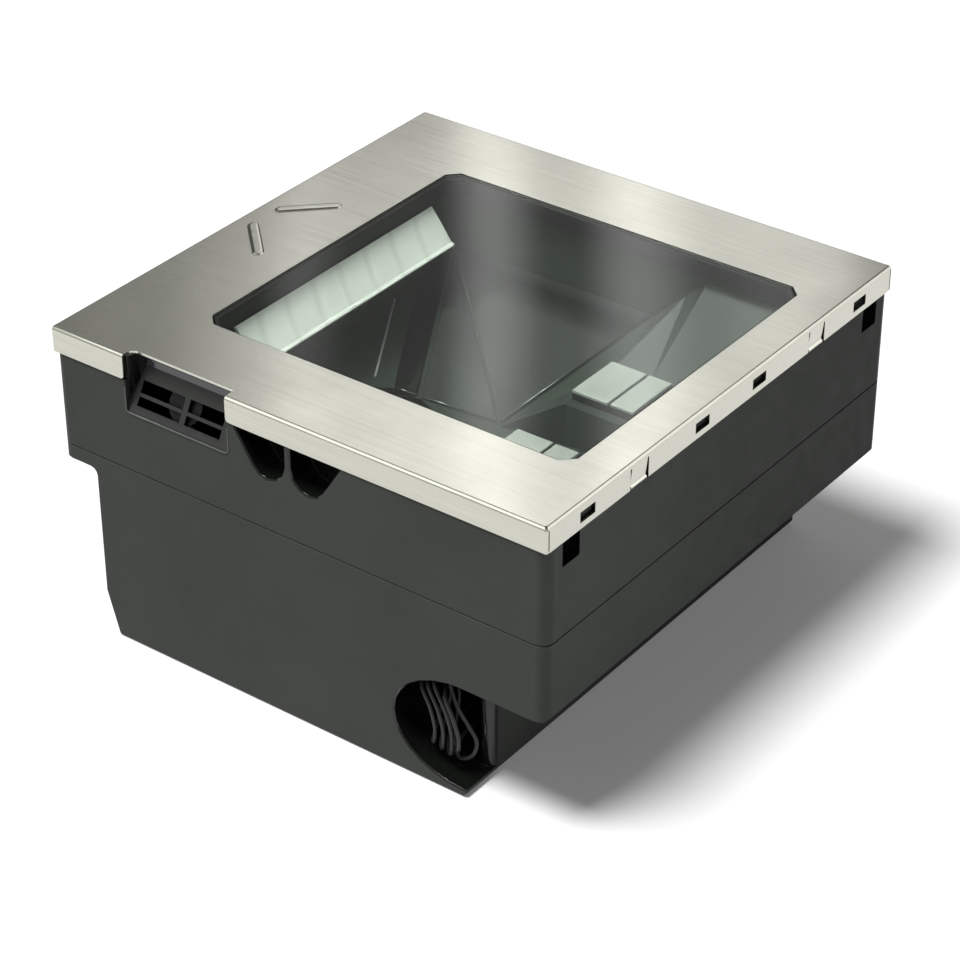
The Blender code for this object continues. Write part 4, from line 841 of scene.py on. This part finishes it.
@dataclass
class Housing:
    """The two mouldings and their feet."""

    edge_mm: float = 0.35
    foot_r: float = 9.0
    foot_h: float = 1.7
    rim_r: float = 0.5
    # The cavity regions are painted shade: near-black in the indicator recess, the finger recesses, the alcove and
    # under the right flange.
    regions: tuple[Region, ...] = (
        Region(Zone.CAVITY, (-102.0, -145.4, 136.0), (-33.0, -130.0, 170.0)),
        # the grille's slope: painted shade, dark grey with dusty patches
        Region(Zone.GRILLE, (-102.0, -145.4, 136.0), (-33.0, -132.0, 162.0), (0.0, -0.88, 0.47)),
        Region(Zone.CAVITY, (-36.5, -145.45, 131.0), (35.5, -129.0, 155.5)),
        Region(Zone.CAVITY, (58.0, -145.45, 3.0), (101.3, -75.5, 62.5)),
        Region(Zone.CAVITY, (139.0, -140.0, 141.5), (145.45, 140.0, 158.0)),
    )

    def build(self) -> None:
        """Builds and dresses the pieces."""
        for part in ("upper", "lower"):
            eased(f"{part}_housing", f"{part}_shell", Slot.HOUSING, self.edge_mm, regions=self.regions)
        feet = [f"foot_{number}" for number in range(1, 5)]
        places = [Vector((centre.x, centre.y, low.z)) for low, centre, _ in map(middle, feet)]
        attach(Repeat(seed=3).run("rubber_feet", self.foot(), places, Slot.RUBBER), Slot.RUBBER, *feet)
        attach(self.grille_rim(), Slot.HOUSING)

    def foot(self) -> Mesh:
        """Builds a foot.

        Returns:
            A disc with three grooves in its sole and an eased edge.
        """
        profile = [(0.0, 0.0)]
        for groove in (2.4, 4.6, 6.8):
            profile += [(groove - 0.45, 0.0), (groove - 0.2, 0.45), (groove + 0.2, 0.45), (groove + 0.45, 0.0)]
        r = self.foot_r
        profile += [(r - 0.9, 0.0), (r - 0.35, 0.2), (r - 0.05, 0.7), (r, self.foot_h), (0.0, self.foot_h)]
        return turned("foot", profile, 48)

    def grille_rim(self) -> Object:
        """Builds the bead round the foot of the recess: its lighter grey is a painted highlight.

        Returns:
            The bead, which stands half out of the front face.
        """
        left, right, low, high, face = -100.0, -36.0, 137.6, 151.5, -145.4
        small, large = 1.2, 2.2  # how much of the two lower corners is cut off
        path = [(left, high), (left, low + small), (left + small, low), (right - large, low), (right, low + large),
                (right, high)]
        rings = []
        for before, here, after in zip(path[:1] + path, path, path[1:] + path[-1:]):
            along = (Vector((after[0] - before[0], 0.0, after[1] - before[1]))).normalized()
            across = Vector((along.z, 0.0, -along.x))
            rings.append([
                Vector((here[0], face, here[1])) + across * self.rim_r * math.cos(a)
                + Vector((0.0, -self.rim_r, 0.0)) * math.sin(a)
                for a in (math.radians(45 * i) for i in range(8))
            ])
        return placed(shaped("grille_rim", rings), Zone.RIM, smooth_deg=80.0)


@dataclass
class Optics:
    """The chassis under the glass and what it carries."""

    halves: tuple[str, ...] = ("rear", "front")
    glass_edge_mm: float = 0.3
    panel_edge_mm: float = 0.35
    panel_top: tuple[float, float] = (-88.9, 155.0)  # x and z of the light bar's upper edge, in mm
    panel_low: tuple[float, float] = (-74.3, 136.5)
    panel_half: float = 78.0
    panel_thick: float = 1.8
    cell: float = 20.7
    cell_lean: float = 6.2
    cell_start: float = -20.3
    groove: float = 0.3
    groove_wide: float = 1.6
    lip: float = 0.5
    lip_wide: float = 2.0
    top_fall: float = 0.2  # how far the upper edge is rounded back
    steps: int = 156  # how finely the panel is drawn along its length

    def build(self) -> None:
        """Builds and dresses the pieces."""
        attach(self.light_panel(), Slot.DIFFUSER, "left_diffuser")
        for half in self.halves:
            for part in ("fold", "side", "strip"):
                eased(f"{half}_{part}_mirror", f"{half}_{part}_glass", Slot.MIRROR, self.glass_edge_mm, segments=1)
            for part in ("wide", "narrow"):
                # the square windows get a darker copy of the frosted acrylic: painted shade
                eased(f"{half}_{part}_diffuser", f"{half}_{part}_panel", Slot.DIFFUSER, self.panel_edge_mm,
                      regions=(Region(Zone.PANEL),))
        attach(self.dish_rib(), Slot.CHASSIS)
        keep(Slot.CHASSIS, "optical_chassis")
        keep(Slot.ALLOY, "camera_barrel")
        keep(Slot.LENS, "camera_lens")
        keep(Slot.FRAME, "camera_mount", "left_bar_holder", *(f"{half}_module_holder" for half in self.halves))
        keep(Slot.BOARD, "camera_board", "left_bar_board", *(f"{half}_module_board" for half in self.halves))

    def light_panel(self) -> Object:
        """Builds the left light bar's panel.

        Returns:
            The panel: slanted cells with soft grooves between them and a lip along the foot.
        """
        top, low = (Vector((x, 0.0, z)) for x, z in (self.panel_top, self.panel_low))
        down = (low - top).normalized()
        out = Vector((-down.z, 0.0, down.x))
        length = (low - top).length
        stations = [0.0, 1.0, *(length * i / 9 for i in range(1, 9)), length - 2.2, length - 1.7, length - 0.4,
                    length]
        back = out * self.panel_thick
        rings = []
        for i in range(self.steps + 1):
            y = -self.panel_half + 2 * self.panel_half * i / self.steps
            ring = []
            for s in stations:
                phase = (y + self.cell_lean * s / length - self.cell_start) / self.cell
                away = abs(phase - round(phase)) * self.cell
                lift = -self.groove * math.exp(-(away / self.groove_wide) ** 2)
                if s > length - self.lip_wide:
                    lift = 0.0 if s == length else self.lip
                elif s == 0.0:
                    lift = -self.top_fall
                ring.append(top + down * s + out * lift + Vector((0.0, y, 0.0)))
            ring += [edge - back + Vector((0.0, y, 0.0)) for edge in (low, top)]
            rings.append(ring)
        return placed(shaped("light_bar_panel", rings), Slot.DIFFUSER, smooth_deg=50.0)

    def dish_rib(self) -> Object:
        """Builds the thin moulded rib that runs down the left facet of the dish, pale as a painted highlight.

        Returns:
            The rib.
        """
        start, end = Vector((-92.3, 49.8, 111.0)), Vector((-65.0, -1.4, 98.2))
        along = (end - start).normalized()
        normal = Vector((0.4254, 0.0, 0.905))
        across = along.cross(normal).normalized()
        section = ((-0.6, -0.3), (-0.35, 0.9), (0.35, 0.9), (0.6, -0.3))
        rings = [[place + across * a + normal * b for a, b in section] for place in (start, end)]
        return placed(shaped("dish_rib", rings), Zone.RIDGE)


@dataclass
class Electronics:
    """The indicator, the speaker and the main board."""

    lens_edge_mm: float = 0.4

    def build(self) -> None:
        """Builds and dresses the pieces."""
        eased("indicator_lens", "indicator_bar", Slot.LENS, self.lens_edge_mm)
        keep(Slot.BOARD, "indicator_board", "main_board")
        keep(Slot.FRAME, "speaker", "interface_jack", "power_jack")
        keep(Slot.ALLOY, "heat_sink")


@dataclass
class CableSet:
    """The two service cables that are stowed in the alcove, each from its grommet to its plug."""

    diameter: float = 2.0
    gap: float = 0.3
    lead: float = 3.5
    steps: int = 10  # how many points of the curve lie between two knots
    centre: Point = (100.0, -146.0, 33.0)  # the alcove's middle at the plate's front edge
    turn: tuple[Point, ...] = (
        (-32.7, 16.5, 14.6), (-30.2, 8.4, 14.2), (-24.2, 6.2, 5.0), (-22.1, 6.2, -5.5),
        (-24.2, 7.4, -14.4), (-30.0, 14.0, -17.8), (-33.8, 23.5, -13.0), (-35.0, 29.5, -2.0),
        (-34.4, 25.5, 9.0),
    )
    turn_step: tuple[Point, ...] = (
        (3.3, 0.3, 1.7), (3.5, 0.3, 1.5), (4.2, 0.3, 0.6), (4.6, 0.3, 0.0), (4.8, 0.3, -1.5),
        (4.2, 0.3, -1.7), (3.4, 0.3, -0.8), (3.3, 0.3, 0.0), (3.2, 0.3, 1.0),
    )
    turn_count: int = 24
    turn_start: float = -0.1
    interface_out: tuple[Point, ...] = ((-33.4, 50.0, 10.6), (-34.4, 35.0, 12.6))
    interface_back: tuple[Point, ...] = (
        (-26.4, 26.0, -18.4), (-26.8, 38.0, -17.2), (-25.0, 50.0, -14.8),
    )
    power_loop: tuple[Point, ...] = (
        (-22.4, 50.0, 13.0), (-23.6, 35.0, 18.4), (-22.2, 21.0, 21.6), (-17.8, 13.8, 18.8),
        (-12.5, 11.6, 8.6), (-7.1, 13.6, -2.5), (-3.1, 14.8, -11.0), (-4.4, 13.4, -18.4),
        (-10.2, 12.8, -22.4), (-16.6, 16.4, -21.8), (-22.2, 24.0, -15.0), (-24.4, 30.0, -3.0),
        (-24.0, 27.0, 8.8), (-21.6, 17.4, 15.4), (-16.8, 8.6, 13.4), (-11.2, 6.4, 5.6),
        (-7.4, 6.2, -4.4), (-7.7, 6.8, -12.6), (-12.4, 11.6, -15.6), (-15.6, 22.0, -15.6),
        (-15.2, 36.0, -15.4), (-14.0, 48.0, -14.2),
    )

    def build(self) -> None:
        """Builds and dresses the pieces."""
        for name, way in (("interface", self.interface_way()), ("power", self.power_loop)):
            route = list(self.smooth(self.knots(name, way)))
            length = sum((b - a).length for a, b in zip(route, route[1:]))
            LOG.info("%s cable: %.0f mm", name, length / MM)
            cable = self.curve(f"{name}_lead", route)
            attach(cable, Slot.CABLE, f"{name}_cable")
            tuple(route[0])
            keep(Slot.RUBBER, f"{name}_plug", f"{name}_grommet")

    def interface_way(self) -> list[Point]:
        """Works out the interface cable's way, each turn a step on from the last.

        Returns:
            Its knots in millimetres, from the alcove's middle.
        """
        count = len(self.turn)
        turns = [
            tuple(a + b * (self.turn_start + i / count)
                  for a, b in zip(self.turn[i % count], self.turn_step[i % count]))
            for i in range(self.turn_count)
        ]
        return [*self.interface_out, *turns, *self.interface_back]

    def knots(self, name: str, way: Sequence[Point]) -> list[Vector]:
        """Leads a cable straight out of its grommet, along its way and straight into its plug.

        Args:
            name: the cable's name.
            way: its knots in millimetres, from the alcove's middle.

        Returns:
            All its knots, in metres.
        """
        grommet_low, grommet, _ = middle(f"{name}_grommet")
        plug_low, plug, _ = middle(f"{name}_plug")
        first = Vector((grommet.x, grommet_low.y - self.gap * MM, grommet.z))
        last = Vector((plug.x, plug_low.y - self.gap * MM, plug.z))
        lead = Vector((0.0, self.lead * MM, 0.0))
        between = [(Vector(self.centre) + Vector(knot)) * MM for knot in way]
        return [first, first - lead, *between, last - lead, last]

    def smooth(self, knots: Sequence[Vector]) -> Iterator[Vector]:
        """Draws a smooth curve through knots.

        Args:
            knots: the knots.

        Returns:
            The curve's points.
        """
        ends = [knots[0] * 2 - knots[1], *knots, knots[-1] * 2 - knots[-2]]
        for a, b, c, d in zip(ends, ends[1:], ends[2:], ends[3:]):
            for i in range(self.steps):
                t = i / self.steps
                curve = (2 * a - 5 * b + 4 * c - d) * t * t + (3 * b - a - 3 * c + d) * t ** 3
                yield 0.5 * (2 * b + (c - a) * t + curve)
        yield knots[-1]

    def curve(self, name: str, route: Sequence[Vector]) -> Object:
        """Builds a round cable.

        Args:
            name: its name.
            route: the points that it follows, in metres.

        Returns:
            The cable, as a curve.
        """
        data = bpy.data.curves.new(name, "CURVE")
        data.dimensions = "3D"
        data.bevel_depth = self.diameter / 2 * MM
        data.bevel_resolution = 4
        data.use_fill_caps = True
        spline = data.splines.new("POLY")
        spline.points.add(len(route) - 1)
        for point, place in zip(spline.points, route):
            point.co = (*place, 1.0)
        spline.use_smooth = True
        data.materials.append(LOOKS[Slot.CABLE])
        return put(name, data)


@dataclass
class Studio:
    """Camera, lamps, world and floor."""

    eye: Vector = field(default_factory=lambda: Vector((0.7565, -1.0075, 0.8765)))
    azimuth_deg: float = 36.82
    elevation_deg: float = 32.88
    roll_deg: float = 0.09
    lens_mm: float = 111.45
    floor_m: float = 8.0
    sensor_mm: float = 36.0
    sight_m: float = 50.0  # how far the camera sees
    plate_m: float = 0.169  # how high the plate is that the soft boxes face
    panel_high_m: float = 1.2
    bend_box_m: tuple[float, float] = (0.8, 2.4)  # width and height of the lamps for the bends
    bend_m: float = 2.3  # how far away they are
    fill_box_m: float = 0.15
    strip_steps: Steps = (
        (0.0, 0.0), (0.14, 0.02), (0.21, 0.4), (0.30, 0.1), (0.42, 0.12), (0.50, 1.0), (0.59, 0.12),
        (0.62, 0.12), (0.71, 1.0), (0.81, 0.3), (0.9, 0.5), (1.0, 0.5),
    )
    board_steps: Steps = ((0.0, 0.0), (0.05, 0.0), (0.14, 1.5), (0.24, 0.95), (0.9, 1.0), (1.0, 0.0))
    world_steps: tuple[tuple[str, float, float, float, float], ...] = (
        # the axis, from where to where along it, and the light at both
        ("X", -0.75, 0.1, 0.44, 0.07),  # the room, which is dimmer to the right
        ("Z", 0.58, 0.78, 0.3, 1.0),  # how much of that is left low down
        ("X", 0.25, 0.55, 0.0, 0.5),  # the wall on the right
        ("Y", -0.15, -0.5, 0.0, 0.5),  # the wall in front
    )
    groups: dict[str, list[Object]] = field(default_factory=lambda: defaultdict(list))

    def build(self) -> None:
        """Sets up the whole studio."""
        self.place_camera()
        self.lay_floor()
        self.hang_lamps()
        self.fill_world()
        bpy.context.scene.view_settings.view_transform = "Standard"

    def place_camera(self) -> None:
        """Puts the camera where the picture was taken from."""
        camera = bpy.data.cameras.new("camera")
        camera.lens = self.lens_mm
        camera.sensor_width = self.sensor_mm
        camera.clip_end = self.sight_m
        holder = put("camera", camera)
        holder.location = self.eye
        holder.rotation_euler = (math.radians(90 - self.elevation_deg), math.radians(self.roll_deg),
                                 math.radians(self.azimuth_deg))
        bpy.context.scene.camera = holder

    def lay_floor(self) -> None:
        """Lays the floor under the feet."""
        half = self.floor_m / 2
        mesh = bpy.data.meshes.new("floor")
        mesh.from_pydata([(-half, -half, 0), (half, -half, 0), (half, half, 0), (-half, half, 0)], [], [(0, 1, 2, 3)])
        mesh.materials.append(PaperFloor("white_studio_paper", "fafafa", 0.8).material())
        floor = put("floor", mesh)

    def hang_lamps(self) -> None:
        """Hangs the lamps: two even ones, soft boxes for the cover and the glass, and a small one for the side."""
        self.sun("key", "floor and mouldings", (-0.2, -0.28, 0.94), power=3.15, angle_deg=19.0)
        self.sun("overhead", "mouldings", (-0.55, -0.55, 1.0), power=1.3, angle_deg=36.0, shown=False)
        strips = self.panel("strips", "steel and glass", (-1.2, 1.62, 1.345), wide=1.0, power=3.2)
        self.fade(strips, self.strip_steps, (1.0, 1.0))
        board = self.panel("steel_panel", "steel", (-1.0, 1.62, 1.35), wide=0.86, power=4.1, lean_deg=-23.5)
        self.fade(board, self.board_steps, (1.4, 0.2))
        self.panel("left_panel", "steel", (-1.68, 1.62, 1.35), wide=0.5, power=0.6, lean_deg=0.0)
        self.arc("front_bend", (-0.49, -0.45, 0.74), bend=(1.0, 0.0, 0.0), power=9.0)
        self.arc("side_bend", (0.5, 0.656, 0.55), bend=(0.0, 1.0, 0.0), power=8.0)
        side = self.hang("side_fill", "AREA", "mouldings", power=0.15, shown=False)
        self.shape(side, self.fill_box_m, self.fill_box_m, (0.34, -0.16, 0.14))
        side.rotation_euler = side.location.to_track_quat("Z", "Y").to_euler()

    def hang(self, name: str, kind: str, lights: str, power: float, shown: bool = True) -> Object:
        """Hangs a lamp.

        Args:
            name: its name.
            kind: SUN or AREA.
            lights: the group of pieces that it lights.
            power: its power, in watts, or for a sun in watts on a square metre that faces it.
            shown: whether glass and metal show the lamp itself.

        Returns:
            The lamp.
        """
        lamp = bpy.data.lights.new(name, kind)
        lamp.energy = power
        holder = put(name, lamp)
        holder.visible_glossy = holder.visible_transmission = shown
        self.groups[lights].append(holder)
        return holder

    def shape(self, holder: Object, wide: float, high: float, place: Sequence[float]) -> None:
        """Gives a soft box its size and its place, in metres.

        Args:
            holder: the lamp.
            wide: its width.
            high: its height.
            place: where it hangs.
        """
        holder.data.shape = "RECTANGLE"
        holder.data.size, holder.data.size_y = wide, high
        holder.location = place

    def turn(self, holder: Object, side: Vector, away: Vector) -> None:
        """Turns a soft box so that its width runs along one way and its back faces another."""
        holder.rotation_euler = Matrix((side, away.cross(side), away)).transposed().to_euler()

    def sun(self, name: str, lights: str, towards: Point, power: float, angle_deg: float,
            shown: bool = True) -> None:
        """Hangs a lamp so far away that its light is even.

        Args:
            name: its name.
            lights: the group of pieces that it lights.
            towards: the way from the object to it.
            power: its power: see hang.
            angle_deg: how large it looks, which softens its shadows.
            shown: whether glass and metal show it.
        """
        holder = self.hang(name, "SUN", lights, power, shown)
        holder.data.angle = math.radians(angle_deg)
        holder.rotation_euler = (-Vector(towards)).to_track_quat("-Z", "Y").to_euler()

    def panel(self, name: str, lights: str, place: Point, wide: float, power: float,
              lean_deg: float = 23.5) -> Object:
        """Hangs a soft box that faces the plate, leant so that its reflection stands upright in the picture.

        Args:
            name: its name.
            lights: the group of pieces that it lights.
            place: where it hangs, in metres.
            wide: its width along X, in metres.
            power: its power: see hang.
            lean_deg: how far its top leans to the right.

        Returns:
            The lamp.
        """
        holder = self.hang(name, "AREA", lights, power)
        self.shape(holder, wide, self.panel_high_m, place)
        away = Vector((0.0, place[1], place[2] - self.plate_m)).normalized()
        side = Vector((1.0, 0.0, 0.0))
        side.rotate(Quaternion(away, math.radians(lean_deg)))
        self.turn(holder, side, away)
        return holder

    def arc(self, name: str, towards: Point, bend: Point, power: float) -> None:
        """Hangs a long soft box that a bend in the cover shows as a bright line.

        Args:
            name: its name.
            towards: the way from the object to it.
            bend: the way that the bend runs.
            power: its power: see hang.
        """
        holder = self.hang(name, "AREA", "steel", power)
        away, run = Vector(towards).normalized(), Vector(bend)
        self.shape(holder, *self.bend_box_m, away * self.bend_m)
        self.turn(holder, (run - away * run.dot(away)).normalized(), away)

    def fade(self, holder: Object, steps: Steps, ends: tuple[float, float]) -> None:
        """Draws bright bars with soft sides on a soft box, as a lamp with baffles has them.

        Args:
            holder: the lamp.
            steps: how far across it, from 0 to 1, and how bright it is there.
            ends: how much brighter or dimmer it is at its two ends along its height.
        """
        holder.data.use_nodes = True
        tree = holder.data.node_tree
        tree.nodes.clear()
        spot = add(tree, "ShaderNodeNewGeometry").outputs["Parametric"]
        place = add(tree, "ShaderNodeSeparateXYZ", {"Vector": spot}).outputs
        ramp = add(tree, "ShaderNodeValToRGB", {0: place["X"]})
        ramp.color_ramp.interpolation = "EASE"
        points = ramp.color_ramp.elements
        while len(points) < len(steps):
            points.new(0.5)
        for point, (across, level) in zip(points, steps):
            point.position = across
            point.color = (level, level, level, 1.0)
        slope = add(tree, "ShaderNodeMapRange", {"Value": place["Y"], "To Min": ends[0], "To Max": ends[1]})
        light = add(tree, "ShaderNodeEmission", {"Color": ramp.outputs["Color"], "Strength": slope.outputs["Result"]})
        add(tree, "ShaderNodeOutputLight", {"Surface": light.outputs[0]})

    def fill_world(self) -> None:
        """Fills the room with dim light that grows to the left, which is what the mirrors show.

        Reflections also show pale walls to the right and in front, so that the steel is bright from behind too.
        """
        world = bpy.data.worlds.new("room")
        world.use_nodes = True
        bpy.context.scene.world = world
        tree = world.node_tree
        tree.nodes.clear()
        way = add(tree, "ShaderNodeTexCoord").outputs["Generated"]
        axes = add(tree, "ShaderNodeSeparateXYZ", {"Vector": way}).outputs
        room, above, right, near = (
            add(tree, "ShaderNodeMapRange", {"Value": axes[axis], "From Min": start, "From Max": end,
                                             "To Min": first, "To Max": last}).outputs["Result"]
            for axis, start, end, first, last in self.world_steps
        )
        dim = add(tree, "ShaderNodeMath", {0: room, 1: above}, operation="MULTIPLY")
        walls = add(tree, "ShaderNodeMath", {0: right, 1: near}, operation="MAXIMUM")
        glossy = add(tree, "ShaderNodeLightPath").outputs["Is Glossy Ray"]
        level = add(tree, "ShaderNodeMath", {0: walls.outputs[0], 1: glossy, 2: dim.outputs[0]},
                    operation="MULTIPLY_ADD")
        back = add(tree, "ShaderNodeBackground", {"Color": srgb("f1f5ee"), "Strength": level.outputs[0]})
        add(tree, "ShaderNodeOutputWorld", {"Surface": back.outputs[0]})

    def share_light(self) -> None:
        """Says which pieces each group of lamps lights."""
        steel, glass, floor = (bpy.data.objects[name] for name in ("steel_cover", "window_pane", "floor"))
        mouldings = [obj for obj in bpy.context.scene.objects
                     if obj.type in {"MESH", "CURVE"} and obj not in (steel, floor)]
        receivers = {"floor and mouldings": [floor, *mouldings], "mouldings": mouldings, "steel": [steel],
                     "steel and glass": [steel, glass]}
        for group, lamps in self.groups.items():
            lit = bpy.data.collections.new(f"lit {group}")
            for obj in receivers[group]:
                lit.objects.link(obj)
            for lamp in lamps:
                lamp.light_linking.receiver_collection = lit


def main() -> None:
    """Builds the studio and the scanner."""
    logging.basicConfig(level=logging.INFO)
    studio = Studio()
    studio.build()
    for assembly in (CableSet(), CoverAssembly(), Housing(), Fasteners(), Optics(), Electronics()):
        assembly.build()
    studio.share_light()


if __name__ == "__main__":
    main()
